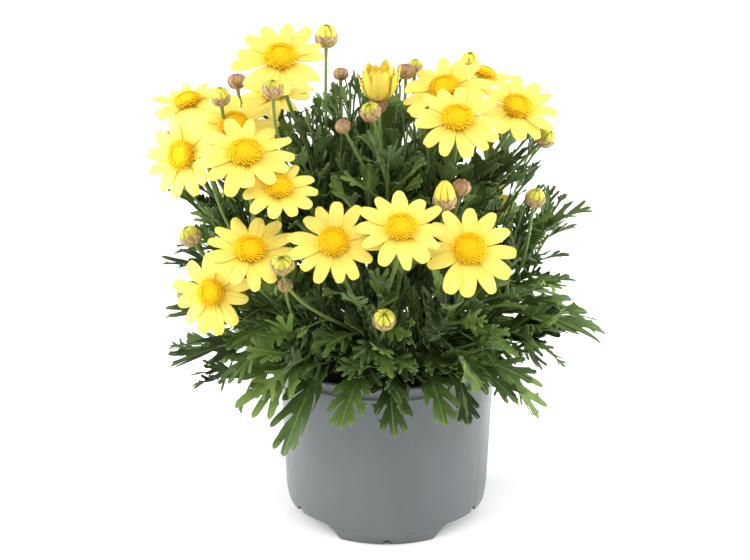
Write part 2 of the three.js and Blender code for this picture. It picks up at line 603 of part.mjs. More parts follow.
// A leafy stem: the stem, its leaves, the stalks of its flower heads, their cups, and its buds.
function leafyStem(name, index) {
  const spec = STEMS[name];
  const curve = stemCurve(spec);
  const draw = seeded(1000 + 17 * index);
  const pieces = [rod(curve, STEM_RADIUS, STEM_SIDES, 5)];
  const axis = AXES[name];
  const across = axis.clone().cross(UP).normalize();
  const above = across.clone().cross(axis).normalize();
  for (let i = 0; i < spec.leaves; i++) {
    const outer = (i + 0.5) / spec.leaves;
    const turn = GOLDEN_ANGLE * i + between(draw, -LEAF_RULE.twist, LEAF_RULE.twist);
    const side = across.clone().multiplyScalar(Math.cos(turn)).addScaledVector(above, Math.sin(turn));
    const spread = THREE.MathUtils.degToRad(LEAF_RULE.spread * Math.sqrt(outer));
    const way = axis.clone().multiplyScalar(Math.cos(spread)).addScaledVector(side, Math.sin(spread));
    const length = spec.leaf * between(draw, ...LEAF_RULE.size);
    const reach = spec.length + length * THREE.MathUtils.lerp(...LEAF_RULE.beyond, outer);
    const tip = CROWN.clone().addScaledVector(way, reach);
    tip.z -= length * between(draw, 0, LEAF_RULE.droop);
    const start = curve.getPoint(THREE.MathUtils.lerp(...LEAF_RULE.roots, outer));
    const middle = start.clone().lerp(tip, 0.5).addScaledVector(side, LEAF_RULE.arch * length * outer);
    const rib = new THREE.QuadraticBezierCurve3(start, middle, tip);
    const toward = UP.clone().multiplyScalar(0.8).addScaledVector(side, -0.6).normalize();
    pieces.push(leaf(rib, rib.getLength(), toward, name, LOBES.slice(0, 2), draw));
  }
  for (const { stem, from, tip, arch } of LONG_LEAVES.filter((l) => l.stem === name)) {
    const start = curve.getPoint(from);
    const end = V(...tip);
    const middle = start.clone().lerp(end, 0.55);
    middle.z += arch;
    const rib = new THREE.QuadraticBezierCurve3(start, middle, end);
    pieces.push(leaf(rib, rib.getLength(), UP, stem, LOBES, draw));
  }
  const blooms = [...Object.values(BLOOMS), OPENING].filter((b) => ownerOf(b.at) === name);
  const buds = Object.values(BUDS).filter((b) => ownerOf(b.at) === name);
  [...blooms, ...buds].forEach((head, i) => {
    const open = i < blooms.length;
    const share = 0.98 - STALK_SPACING * i;
    const stalk = stalkCurve(name, head.at, head.faces, open ? 6 : head.radius / 2, share);
    pieces.push(rod(stalk, open ? STALK_RADIUS : BUD_STALK_RADIUS, STALK_SIDES, 4));
    pieces.push(open ? cup(head) : bud(head));
  });
  return joined(pieces);
}

const plant = new THREE.Group();
plant.add(meshOf(pot(), "pot", GREY));
const feet = Object.values(STEMS).map((s) => ({
  radius: STEM_RADIUS + HOLE_CLEARANCE,
  foot: heading(s.around, 0).multiplyScalar(s.foot + 0.5),
}));
plant.add(meshOf(soil(feet, seeded(7)), "soil", PEAT));
Object.keys(STEMS).forEach((name, i) => {
  plant.add(meshOf(leafyStem(name, i), `leafy_stem_${name}`, GREEN));
});
Object.entries(BLOOMS).forEach(([name, bloom], i) => {
  plant.add(meshOf(rays(bloom, seeded(300 + i)), `petals_${name}`, YELLOW));
  plant.add(meshOf(disc(bloom, i), `disc_${name}`, ORANGE));
});
plant.add(meshOf(rays(OPENING, seeded(400)), "petals_opening", YELLOW));
plant.add(meshOf(disc({ ...OPENING, radius: OPENING.discRadius }, 0), "disc_opening", ORANGE));
export default plant;
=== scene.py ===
import logging
import math
from collections.abc import Sequence
from dataclasses import dataclass, field
from enum import Enum, IntEnum
from typing import ClassVar

import bpy
import numpy as np
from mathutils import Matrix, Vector, noise
from mathutils.geometry import delaunay_2d_cdt


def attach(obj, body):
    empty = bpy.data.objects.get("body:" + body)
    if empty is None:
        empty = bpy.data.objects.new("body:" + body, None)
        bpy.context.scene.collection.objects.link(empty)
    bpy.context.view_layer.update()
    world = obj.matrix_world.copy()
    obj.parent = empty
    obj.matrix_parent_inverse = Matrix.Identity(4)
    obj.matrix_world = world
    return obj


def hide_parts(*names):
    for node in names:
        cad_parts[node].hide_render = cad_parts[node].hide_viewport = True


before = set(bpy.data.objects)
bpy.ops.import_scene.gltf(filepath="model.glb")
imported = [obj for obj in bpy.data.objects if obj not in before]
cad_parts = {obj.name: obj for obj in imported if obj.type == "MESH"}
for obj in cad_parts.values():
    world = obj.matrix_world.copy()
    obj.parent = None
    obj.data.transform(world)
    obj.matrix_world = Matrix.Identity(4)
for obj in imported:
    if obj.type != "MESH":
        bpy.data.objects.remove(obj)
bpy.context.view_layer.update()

# A potted marguerite daisy in a round plastic nursery pot. The shapes are worked out in millimetres, with
# +Z up, -Y the front and the origin on the ground on the pot's axis, and become metres when a mesh is made.
MM = 0.001
BODY = "root"
UP = np.array([0.0, 0.0, 1.0])
# A direction that no stem, shoot or stalk follows, to measure turns round them from
SLANT = np.array([0.31, 0.87, 0.38])

Array = np.ndarray
Pair = tuple[float, float]
Triple = tuple[float, float, float]
Colour = tuple[float, float, float, float]
Socket = bpy.types.NodeSocket
Material = bpy.types.Material

# The pot
POT_HEIGHT = 108.0
RIM_RADIUS = 69.0
RIM_BAND = 8.8
WALL_TOP_RADIUS = 67.6
WALL_LOW_RADIUS = 63.7
WALL_LOW_Z = 20.0
FOOT_RADIUS = 57.6
FOOT_RING = 2.2
WALL = 1.6
FLOOR_UNDERSIDE = 10.6
FLOOR = 1.6
FIT_GAP = 0.3
SOIL_TOP = 98.0
STEM_FOOT_Z = 84.3

# The plant
CROWN = np.array([0.0, 0.0, 97.0])
SCALE_THICKNESS = 0.22
GOLDEN_ANGLE = math.radians(137.5)
STALK_SPACING = 0.08
STALK_REACH = 0.36
STALK_RIDGES = 5
DISC_SHARE = 0.375
CUP_SHARE = 0.315
CUP_DEPTH = 8.0
PETAL_ROOT = 0.42


class Ripeness(Enum):
    """How far a bud has come: how green its bracts are, how yellow its petals, and how high its tip."""

    BROWN = (0.08, None, 0.62)
    CREAM = (0.3, 0.42, 0.7)
    GREEN = (0.6, 0.42, 0.82)
    YELLOW = (0.45, 0.85, 1.0)
    POINTED = (0.5, 1.0, 1.6)

    @property
    def bracts(self) -> float:
        """How green the bracts are, from 0 to 1."""
        return self.value[0]

    @property
    def petals(self) -> float | None:
        """How yellow the folded petals are, from 0 to 1, where any show."""
        return self.value[1]

    @property
    def tip(self) -> float:
        """The height of the bud's tip above its middle, as a share of its radius."""
        return self.value[2]


@dataclass(frozen=True)
class Stem:
    """One leafy stem: the axis of its cone, its length, its foot's place, and its leaves."""

    around: float
    up: float
    length: float
    foot: float
    leaves: int
    leaf: float


@dataclass(frozen=True)
class Bloom:
    """A flower head: where its petals meet its cup, the way it faces, its radius and its number of petals.

    The petals of an opening head still stand up. wilt is how far the lowest petals hang.
    """

    at: Triple
    faces: Pair
    radius: float
    petals: int
    opening: bool = False
    disc_radius: float | None = None
    wilt: float = 1.2


@dataclass(frozen=True)
class Bud:
    """A closed head: its middle, the way it faces, its radius and how ripe it is."""

    at: Triple
    faces: Pair
    radius: float
    ripeness: Ripeness


@dataclass(frozen=True)
class Shoot:
    """A side shoot: its tip, and how long its lowest leaves are."""

    tip: Triple
    leaf: float


@dataclass(frozen=True)
class Lobe:
    """A lobe's tip and the hollow in front of it, as shares of the leaf: along the rib, and out from it."""

    tip: Pair
    hollow: Pair


@dataclass(frozen=True)
class LeafForm:
    """One form of leaf: the edge of its stalk, its lobes and how broad they are, and its end.

    solid says how many of its lobes the solids have too. The end's points are shares of the way from the
    last hollow to the tip and of that hollow's width, with how far a tooth stands out.
    """

    stalk: tuple[Pair, ...]
    lobes: tuple[Lobe, ...]
    strap: float
    end: tuple[Triple, ...]
    solid: int = 0


# What the leaves that the solids have too share
SOLID_STALK: tuple[Pair, ...] = ((0.0, 0.012), (0.12, 0.014), (0.24, 0.018), (0.38, 0.026))
SOLID_LOBES: tuple[Lobe, ...] = (Lobe((0.6, 0.2), (0.54, 0.031)), Lobe((0.84, 0.23), (0.75, 0.031)))


class LeafKind(Enum):
    """The kinds of leaf on the plant."""

    SHORT = LeafForm(
        SOLID_STALK, (*SOLID_LOBES, Lobe((0.95, 0.11), (0.89, 0.025))),
        0.024, ((0.5, 0.9, 0.0), (0.72, 0.8, 0.012), (0.78, 0.7, 0.0)), solid=2,
    )
    LONG = LeafForm(
        SOLID_STALK, (*SOLID_LOBES, Lobe((0.98, 0.12), (0.89, 0.025))),
        0.023, ((0.4, 0.9, 0.0), (0.7, 0.8, 0.012), (0.76, 0.7, 0.0)), solid=3,
    )
    FINE = LeafForm(
        ((0.0, 0.014), (0.16, 0.018), (0.32, 0.03)),
        (
            Lobe((0.6, 0.2), (0.46, 0.036)), Lobe((0.82, 0.23), (0.66, 0.036)),
            Lobe((0.97, 0.14), (0.84, 0.03)),
        ),
        0.031, ((0.5, 0.95, 0.0), (0.85, 0.85, 0.0)),
    )
    OPEN = LeafForm(
        ((0.0, 0.014), (0.16, 0.018), (0.36, 0.03)),
        (Lobe((0.72, 0.24), (0.52, 0.038)), Lobe((0.96, 0.19), (0.76, 0.04))),
        0.036, ((0.4, 0.95, 0.0), (0.7, 0.95, 0.012), (0.85, 0.8, 0.0)),
    )
    BROAD = LeafForm(
        ((0.0, 0.014), (0.2, 0.018), (0.4, 0.034), (0.56, 0.052)),
        (Lobe((0.78, 0.125), (0.7, 0.056)), Lobe((0.94, 0.115), (0.87, 0.052))),
        0.03, ((0.4, 0.95, 0.012), (0.5, 0.85, 0.0), (0.75, 0.7, 0.012), (0.84, 0.6, 0.0)),
    )
    FORKED = LeafForm(
        ((0.0, 0.014), (0.2, 0.018), (0.46, 0.028)),
        (
            Lobe((0.72, 0.13), (0.6, 0.034)), Lobe((0.88, 0.14), (0.78, 0.034)),
            Lobe((0.98, 0.08), (0.9, 0.03)),
        ),
        0.024, ((0.5, 0.95, 0.0), (0.85, 0.85, 0.0)),
    )
    SPEAR = LeafForm(
        ((0.0, 0.014), (0.2, 0.02), (0.45, 0.036)),
        (Lobe((0.7, 0.12), (0.64, 0.044)), Lobe((0.88, 0.11), (0.82, 0.044))),
        0.034, ((0.5, 0.95, 0.0), (0.85, 0.7, 0.0)),
    )


@dataclass(frozen=True)
class LongLeaf:
    """A leaf that shapes the outline: where on its stem it grows, its tip, its arch's height and its kind."""

    stem: str
    root: float
    tip: Triple
    arch: float
    kind: LeafKind = LeafKind.LONG


STEMS: dict[str, Stem] = {
    "front": Stem(-8, 36, 66, 20, 6, 54),
    "front_right": Stem(32, 36, 72, 20, 6, 58),
    "right": Stem(74, 36, 82, 20, 6, 66),
    "back_right": Stem(118, 36, 78, 20, 5, 66),
    "back": Stem(165, 36, 74, 20, 5, 64),
    "back_left": Stem(-140, 36, 78, 20, 5, 66),
    "left": Stem(-92, 38, 82, 20, 6, 64),
    "front_left": Stem(-48, 36, 72, 20, 6, 58),
    "crown_left": Stem(-70, 72, 112, 7.5, 6, 74),
    "crown_front": Stem(0, 76, 116, 7.5, 6, 74),
    "crown_right": Stem(68, 72, 112, 7.5, 6, 74),
    "crown_back": Stem(175, 72, 112, 7.5, 5, 74),
}

BLOOMS: dict[str, Bloom] = {
    "top_left": Bloom((-62.5, -35, 301), (0, 56), 27, 13, wilt=5.0),
    "behind_top_left": Bloom((-68, 14, 268), (-20, 66), 24, 12),
    "far_left": Bloom((-121, 12, 262), (-40, 69), 23, 12),
    "left_upper": Bloom((-91, -26, 258), (-5, 52), 25, 12),
    "left_edge": Bloom((-120, -42, 245), (-33, 21), 25, 12),
    "left_middle": Bloom((-82, -74, 254), (0, 59), 28, 13),
    "left_small": Bloom((-62, -88, 237.5), (5, 58), 22, 11),
    "front_left": Bloom((-79, -98, 203.5), (6, 57), 26, 13),
    "low_left": Bloom((-102, -80, 172.5), (-20, 25), 23, 12),
    "front_first": Bloom((-31, -102, 210), (0, 44), 25, 13),
    "front_second": Bloom((7.5, -106, 219.5), (0, 52), 25, 12),
    "front_third": Bloom((46.5, -100, 205), (3, 44), 27, 12),
    "right_upper": Bloom((40, -64, 272), (0, 55), 26, 13),
    "right_behind": Bloom((34, -32, 282), (-28, 57), 25, 12, wilt=4.0),
    "right_edge": Bloom((76, -34, 271), (14, 56), 24, 12),
    "right_far": Bloom((58, 12, 279), (78, 72), 21, 11),
    "back_first": Bloom((20, 100, 196), (170, 44), 25, 12),
    "back_second": Bloom((-40, 100, 192), (-162, 40), 26, 12),
    "back_right": Bloom((66, 90, 176), (142, 32), 25, 12),
    "back_left": Bloom((-88, 74, 196), (-130, 32), 25, 12),
}
OPENING = Bloom((-5, -30, 276), (-5, 84), 24, 11, opening=True, disc_radius=17)

BUDS: dict[str, Bud] = {
    "tall": Bud((-36, -20, 311), (20, 86), 7, Ripeness.YELLOW),
    "top_left": Bud((-91, 8, 278), (-30, 82), 5.8, Ripeness.BROWN),
    "before_top_left": Bud((-66, -64, 291), (0, 82), 6.6, Ripeness.CREAM),
    "far_left": Bud((-131, 16, 242), (-80, 60), 5.4, Ripeness.BROWN),
    "crown_small": Bud((-28, 10, 282), (20, 84), 4.6, Ripeness.BROWN),
    "crown_round": Bud((-10, -58, 276), (-30, 62), 6.4, Ripeness.CREAM),
    "crown_low": Bud((-26, -60, 268), (-30, 55), 4.6, Ripeness.BROWN),
    "crown_right": Bud((11, -16, 290), (0, 82), 5.6, Ripeness.BROWN),
    "right_top": Bud((51, 40, 281), (20, 78), 6.4, Ripeness.YELLOW),
    "right_edge": Bud((94, -24, 251), (62, 50), 6.4, Ripeness.GREEN),
    "front_pointed": Bud((33, -72, 227), (0, 82), 7.2, Ripeness.POINTED),
    "front_round": Bud((43, -66, 233), (20, 66), 5.6, Ripeness.BROWN),
    "right_low": Bud((87, -52, 222), (30, 74), 6.2, Ripeness.GREEN),
    "front_low": Bud((-2, -110, 167), (0, 52), 6.8, Ripeness.GREEN),
    "left_low": Bud((-116, -60, 201), (-70, 62), 6.8, Ripeness.GREEN),
    "before_front_left": Bud((-60, -118, 203), (0, 56), 6.6, Ripeness.GREEN),
}

# Buds that the solids leave out: the four smallest and one more
SMALL_BUDS: tuple[Bud, ...] = (
    Bud((-59.3, -90, 181), (-10, 70), 4.5, Ripeness.BROWN),
    Bud((-121.3, -60, 165), (-60, 50), 3.8, Ripeness.BROWN),
    Bud((-105.3, -60, 250), (-20, 75), 4.4, Ripeness.BROWN),
    Bud((-98.3, -30, 277), (-20, 80), 5.8, Ripeness.YELLOW),
    Bud((16.7, 0, 289), (20, 80), 4.5, Ripeness.GREEN),
)

# The tip of each side shoot, and how long its lowest leaves are
SHOOTS: tuple[Shoot, ...] = tuple(Shoot((x, y, z), leaf) for x, y, z, leaf in (
    (66, -20, 190, 46), (76, 10, 165, 46), (66, -50, 170, 46), (62, 34, 186, 46), (92, -40, 136, 46),
    (80, -12, 214, 46), (84, -8, 146, 46), (-100, -10, 190, 52), (-88, 30, 190, 52), (-108, 20, 160, 52),
    (-70, -65, 165, 52), (-104, -30, 150, 52), (-86, -20, 215, 52), (-112, -16, 208, 52),
    (-104, 4, 176, 52), (-60, 0, 240, 52), (-44, -50, 215, 52), (-30, 30, 252, 52), (-78, -22, 228, 44),
    (-40, -12, 262, 40), (-48, -40, 236, 44), (-27, -20, 272, 36), (-50, -20, 250, 42), (62, -10, 228, 52),
    (45, -50, 215, 52), (70, 30, 222, 52), (30, 20, 254, 52), (54, -20, 248, 44), (24, -30, 246, 44),
    (26, -16, 264, 36), (78, 4, 236, 44), (0, -50, 238, 52), (-10, -22, 262, 42), (12, -30, 258, 40),
    (15, -60, 205, 52), (-18, -56, 216, 52), (2, -8, 272, 34), (-14, 2, 278, 32), (0, 50, 240, 52),
    (-30, 60, 215, 52), (30, 60, 210, 52), (0, 24, 268, 40), (14, 10, 146, 42), (-10, 10, 146, 42),
    (30, 20, 148, 42), (2, -22, 142, 42), (16, -32, 152, 42), (0, 2, 160, 52), (16, 32, 162, 52),
    (-18, 32, 158, 52), (20, -12, 172, 52), (-24, -14, 174, 52), (0, 36, 190, 52), (-32, 0, 192, 52),
    (34, 4, 192, 52), (0, -22, 200, 52), (0, -40, 170, 52), (-15, -76, 160, 52), (8, -64, 175, 52),
    (-4, -88, 142, 52), (-56, -70, 165, 52), (-80, -62, 150, 52), (-58, -84, 138, 52), (36, -76, 160, 52),
    (60, -58, 165, 52), (56, -78, 138, 52), (-36, -60, 126, 36), (-14, -68, 122, 36), (10, -70, 122, 36),
    (34, -62, 124, 36), (54, -46, 124, 36), (-56, -46, 124, 36), (0, -46, 134, 36), (-26, -40, 136, 36),
    (28, -40, 136, 36), (80, 14, 206, 46), (90, 6, 196, 44), (70, 30, 208, 46), (102, -12, 204, 40),
    (98, -16, 188, 40), (90, -4, 238, 36), (80, -30, 134, 40), (-30, 4, 262, 42), (-22, 14, 268, 40),
    (-52, 10, 256, 42), (-62, 2, 248, 44), (-38, 10, 254, 42), (-30, -8, 270, 34), (8, 10, 274, 34),
    (-22, 0, 274, 38), (-20, 10, 268, 34), (-48, -6, 264, 38), (-60, 8, 258, 38), (74, -4, 242, 38),
    (84, -14, 208, 42), (-106, 10, 196, 40), (-112, -30, 124, 44), (-104, -46, 112, 40), (0, 44, 128, 40),
    (-20, 40, 130, 40), (20, 42, 130, 40), (38, 36, 132, 38), (-38, 34, 132, 38), (8, 56, 124, 34),
    (-12, 58, 124, 34), (30, 54, 126, 34), (60, 84, 160, 52), (-60, 80, 160, 52), (86, 50, 160, 52),
    (-20, 92, 160, 52), (20, 92, 164, 52),
))

LONG_LEAVES: list[LongLeaf] = [
    LongLeaf("left", 0.8, (-138, -14, 168), 16),
    LongLeaf("left", 0.95, (-127, 4, 208), 18),
    LongLeaf("left", 0.6, (-136, -22, 136), 20),
    LongLeaf("front_left", 0.7, (-130, -64, 120), 20),
    LongLeaf("front_left", 0.55, (-62, -88, 72), 34, LeafKind.FORKED),
    LongLeaf("front_left", 0.6, (-80, -86, 96), 26, LeafKind.FINE),
    LongLeaf("front", 0.6, (-28, -98, 94), 20, LeafKind.FORKED),
    LongLeaf("front", 0.5, (4, -100, 90), 26, LeafKind.FORKED),
    LongLeaf("front_right", 0.55, (34, -94, 94), 22, LeafKind.FORKED),
    LongLeaf("front_right", 0.65, (78, -80, 102), 20),
    LongLeaf("right", 0.55, (92, -58, 84), 30),
    LongLeaf("right", 0.8, (131, -30, 122), 24, LeafKind.FINE),
    LongLeaf("right", 0.95, (124, -16, 205), 24),
    LongLeaf("back_right", 0.7, (108, 84, 112), 24),
    LongLeaf("back_right", 0.55, (66, 76, 86), 28),
    LongLeaf("back_right", 0.85, (136, 46, 100), 26),
    LongLeaf("back", 0.7, (22, 122, 108), 24),
    LongLeaf("back", 0.55, (-14, 104, 84), 30),
    LongLeaf("back_left", 0.6, (-94, 88, 104), 26),
    LongLeaf("back_left", 0.85, (-106, 98, 152), 16),
    LongLeaf("crown_front", 0.88, (-8, 4, 292), 4, LeafKind.BROAD),
    LongLeaf("crown_front", 0.95, (8, -10, 293), 2, LeafKind.SPEAR),
    LongLeaf("crown_front", 0.85, (-25, -4, 281), 4, LeafKind.BROAD),
    LongLeaf("crown_left", 0.9, (-52, -14, 270), 6),
    LongLeaf("crown_right", 0.9, (34, 8, 272), 4),
    LongLeaf("crown_right", 0.85, (88, -6, 236), 14),
]


# Numbers, vectors and curves
class Draws:
    """A run of numbers that is the same for the same seed, and the same as the solids' own."""

    MASK: ClassVar[int] = 0xFFFFFFFF

    def __init__(self, seed: int) -> None:
        """Starts the run.

        Args:
            seed: The whole number that fixes the run.
        """
        self.state = seed & self.MASK

    def share(self) -> float:
        """The next number, from 0 to 1.

        Returns:
            The number.
        """
        self.state = (self.state + 0x6D2B79F5) & self.MASK
        t = self.state
        t = ((t ^ (t >> 15)) * (t | 1)) & self.MASK
        t ^= (t + ((t ^ (t >> 7)) * (t | 61))) & self.MASK
        return (t ^ (t >> 14)) / 2**32

    def between(self, low: float, high: float) -> float:
        """The next number, from low to high."""
        return low + (high - low) * self.share()


def unit(v: Array) -> Array:
    """The vectors of v, each made one long."""
    return v / np.maximum(np.linalg.norm(v, axis=-1, keepdims=True), 1e-12)


def heading(around: float, up: float) -> Array:
    """The direction that lies so many degrees round from the front and up from the ground."""
    a, e = math.radians(around), math.radians(up)
    return np.array([math.cos(e) * math.sin(a), -math.cos(e) * math.cos(a), math.sin(e)])


def smoothstep(x: Array, low: float, high: float) -> Array:
    """A smooth rise from 0 at low to 1 at high."""
    t = np.clip((x - low) / (high - low), 0.0, 1.0)
    return t * t * (3 - 2 * t)


def spun(angle: float) -> Array:
    """The turn about +Z by an angle in radians."""
    c, s = math.cos(angle), math.sin(angle)
    return np.array([[c, -s, 0], [s, c, 0], [0, 0, 1]])


def head_turn(faces: Pair, spin: float = 0.0) -> Array:
    """The turn that brings +Z to the way a head faces.

    Args:
        faces: Degrees round from the front and up.
        spin: A turn about the head's own axis first, in radians.

    Returns:
        A 3 by 3 rotation.
    """
    f = heading(*faces)
    v = np.cross(UP, f)
    cross = np.array([[0, -v[2], v[1]], [v[2], 0, -v[0]], [-v[1], v[0], 0]])
    return (np.eye(3) + cross + cross @ cross / (1 + f[2])) @ spun(spin)


@dataclass(frozen=True)
class Bezier:
    """A smooth curve from three or four control points."""

    controls: Array

    def at(self, t: Array) -> Array:
        """The points at the shares t."""
        n, t = len(self.controls) - 1, np.asarray(t, float)[:, None]
        return sum(math.comb(n, i) * t**i * (1 - t) ** (n - i) * p for i, p in enumerate(self.controls))

    def tangent(self, t: Array) -> Array:
        """The directions at the shares t."""
        return unit(Bezier(np.diff(self.controls, axis=0)).at(t))

    def length(self) -> float:
        """The curve's length."""
        steps = np.diff(self.at(np.linspace(0, 1, 60)), axis=0)
        return float(np.linalg.norm(steps, axis=1).sum())


@dataclass(frozen=True)
class Spline:
    """A smooth curve through its points, the same as the solids' stems follow."""

    points: Array

    def at(self, t: Array) -> Array:
        """The points at the shares t."""
        return np.array([self.point(float(s)) for s in np.atleast_1d(t)])

    def point(self, t: float) -> Array:
        """The point at the share t.

        Args:
            t: The share, from 0 to 1.

        Returns:
            The point.
        """
        p = self.points
        last = len(p) - 1
        i = min(int(last * t), last - 1)
        w = last * t - i
        before = p[i - 1] if i > 0 else 2 * p[0] - p[1]
        after = p[i + 2] if i + 2 <= last else 2 * p[last] - p[last - 1]
        d0, d1, d2 = (
            math.sqrt(float(np.linalg.norm(a - b)))
            for a, b in ((before, p[i]), (p[i], p[i + 1]), (p[i + 1], after))
        )
        step = p[i + 1] - p[i]
        m1 = ((p[i] - before) / d0 - (p[i + 1] - before) / (d0 + d1) + step / d1) * d1
        m2 = (step / d1 - (after - p[i]) / (d1 + d2) + (after - p[i + 1]) / d2) * d1
        return p[i] + w * m1 + w * w * (3 * step - 2 * m1 - m2) + w**3 * (m1 + m2 - 2 * step)


# Where each leafy stem's space is
AXES: dict[str, Array] = {name: heading(s.around, s.up) for name, s in STEMS.items()}


@dataclass(frozen=True)
class Space:
    """The space that a leafy stem's leaves may take: its own cone, clear of heads and pot."""

    stem: str
    margin: float = 0.9
    softness: float = 5.0
    below: float = -10.0
    above: float = 26.0
    beside: float = 3.0
    soft: float = 12.0
    bud_clearance: float = 3.5
    edge_radius: float = RIM_RADIUS - 6
    edge_z: float = POT_HEIGHT - 6
    edge_clear: float = 13.0

    def clear_heads(self, p: Array) -> Array:
        """Bends points out of the space before and behind each bloom, and round each bud.

        Args:
            p: The points.

        Returns:
            The bent points.
        """
        for bloom in [*BLOOMS.values(), OPENING]:
            facing = heading(*bloom.faces)
            away = p - np.array(bloom.at)
            height = away @ facing
            out = np.linalg.norm(away - height[:, None] * facing, axis=1)
            edge = bloom.radius + self.beside
            share = 1 - smoothstep(out, edge, edge + self.soft)
            near = (height > self.below) & (height < self.above)
            p = p + (near * (self.below - height) * share)[:, None] * facing
        for bud in [*BUDS.values(), *SMALL_BUDS]:
            away = p - np.array(bud.at)
            far = np.linalg.norm(away, axis=1)[:, None]
            clear = bud.radius + self.bud_clearance
            p = np.where(far < clear, np.array(bud.at) + unit(away) * clear, p)
        return p

    def stay_in_cone(self, p: Array) -> Array:
        """Bends points back into the stem's own cone.

        Args:
            p: The points.

        Returns:
            The bent points.
        """
        limit = self.margin + self.softness
        for _ in range(2):
            for other, axis in AXES.items():
                if other == self.stem:
                    continue
                inward = unit(AXES[self.stem] - axis)
                depth = (p - CROWN) @ inward
                short = (np.minimum(depth, limit) - limit) / self.softness
                eased = self.margin + self.softness * np.exp(short)
                p = p + np.where(depth < limit, eased - depth, 0.0)[:, None] * inward
        return p

    def clear_pot(self, p: Array) -> Array:
        """Bends points over the rim and down outside the pot.

        Args:
            p: The points.

        Returns:
            The bent points.
        """
        r = np.hypot(p[:, 0], p[:, 1])
        out = r - self.edge_radius
        over = p[:, 2] - self.edge_z
        grow = np.maximum(1.0, self.edge_clear / np.maximum(np.hypot(out, over), 1e-6))
        inside, low = out <= 0, over <= 0
        new_over = np.where(inside, np.maximum(over, self.edge_clear), np.where(low, over, over * grow))
        new_out = np.where(inside, out, np.where(low, np.maximum(out, self.edge_clear), out * grow))
        scale = np.where(r > 0, (self.edge_radius + new_out) / np.maximum(r, 1e-6), 1.0)
        return np.column_stack([p[:, 0] * scale, p[:, 1] * scale, self.edge_z + new_over])

    def bend(self, p: Array) -> Array:
        """Bends points to where the stem's leaves may be."""
        return self.clear_pot(self.stay_in_cone(self.clear_heads(p)))


# Meshes
@dataclass
class Patch:
    """A closed surface in millimetres, with the four values that finishes read at each point.

    tone tells one leaf, petal or scale from the next. along runs from its root to its tip. mark is what
    the finish says, such as the distance to a vein. under is 1 on a blade's lower face.
    """

    VALUES: ClassVar[tuple[str, ...]] = ("tone", "along", "mark", "under")

    points: Array
    faces: list[Array]
    values: dict[str, Array] = field(default_factory=dict)

    def moved(self, turn: Array, at: Sequence[float]) -> "Patch":
        """The same patch, turned and then moved."""
        return Patch(self.points @ turn.T + np.array(at), self.faces, self.values)


class MeshBuilder:
    """Gathers the patches of one piece and makes its object."""

    def __init__(self) -> None:
        """Starts with no patches."""
        self.points: list[Array] = []
        self.loops: list[Array] = []
        self.sizes: list[Array] = []
        self.finishes: list[Array] = []
        self.values: dict[str, list[Array]] = {name: [] for name in Patch.VALUES}
        self.count = 0

    def add(self, patch: Patch, finish: int = 0) -> None:
        """Adds a patch.

        Args:
            patch: The surface to add.
            finish: Which of the piece's materials it takes.
        """
        for faces in patch.faces:
            self.loops.append((faces + self.count).ravel())
            self.sizes.append(np.full(len(faces), faces.shape[1]))
            self.finishes.append(np.full(len(faces), finish))
        n = len(patch.points)
        self.points.append(patch.points)
        for name, rows in self.values.items():
            rows.append(np.broadcast_to(patch.values.get(name, 0.0), n))
        self.count += n

    def build(self, name: str, materials: Sequence[Material], sharp: float = 50.0) -> bpy.types.Object:
        """Makes the object, with smooth faces apart from sharp edges.

        Args:
            name: The piece's name.
            materials: Its materials, in the order that the patches' finishes count them.
            sharp: Degrees between two faces from which their edge is sharp.

        Returns:
            The object, linked to the scene.
        """
        mesh = bpy.data.meshes.new(name)
        loops, sizes = np.concatenate(self.loops), np.concatenate(self.sizes)
        mesh.vertices.add(self.count)
        mesh.vertices.foreach_set("co", (np.vstack(self.points) * MM).astype(np.float32).ravel())
        mesh.loops.add(len(loops))
        mesh.loops.foreach_set("vertex_index", loops.astype(np.int32))
        mesh.polygons.add(len(sizes))
        mesh.polygons.foreach_set("loop_start", (np.cumsum(sizes) - sizes).astype(np.int32))
        mesh.polygons.foreach_set("material_index", np.concatenate(self.finishes).astype(np.int32))
        mesh.update(calc_edges=True)
        for value, rows in self.values.items():
            layer = mesh.attributes.new(value, "FLOAT", "POINT")
            layer.data.foreach_set("value", np.concatenate(rows).astype(np.float32))
        mesh.shade_smooth()
        mesh.set_sharp_from_angle(angle=math.radians(sharp))
        for material in materials:
            mesh.materials.append(material)
        return linked(name, mesh)


def grid(rows: int, columns: int, wrap: bool = False) -> Array:
    """The four-sided faces of a grid of points, row by row.

    Args:
        rows: How many rows of points.
        columns: How many points in a row.
        wrap: Whether each row closes on itself.

    Returns:
        Faces as indices, four to a row.
    """
    r, c = np.meshgrid(np.arange(rows - 1), np.arange(columns - (not wrap)), indexing="ij")
    here, there = (r * columns + c).ravel(), (r * columns + (c + 1) % columns).ravel()
    return np.column_stack([here, there, there + columns, here + columns])


def rim_edges(faces: Array) -> Array:
    """The directed edges that only one face has.

    Args:
        faces: The faces, as indices.

    Returns:
        Edges as indices, two to a row.
    """
    corners = faces.shape[1]
    edges = np.vstack([faces[:, [i, (i + 1) % corners]] for i in range(corners)])
    span = int(faces.max()) + 1
    forward, backward = edges[:, 0] * span + edges[:, 1], edges[:, 1] * span + edges[:, 0]
    return edges[~np.isin(forward, backward)]


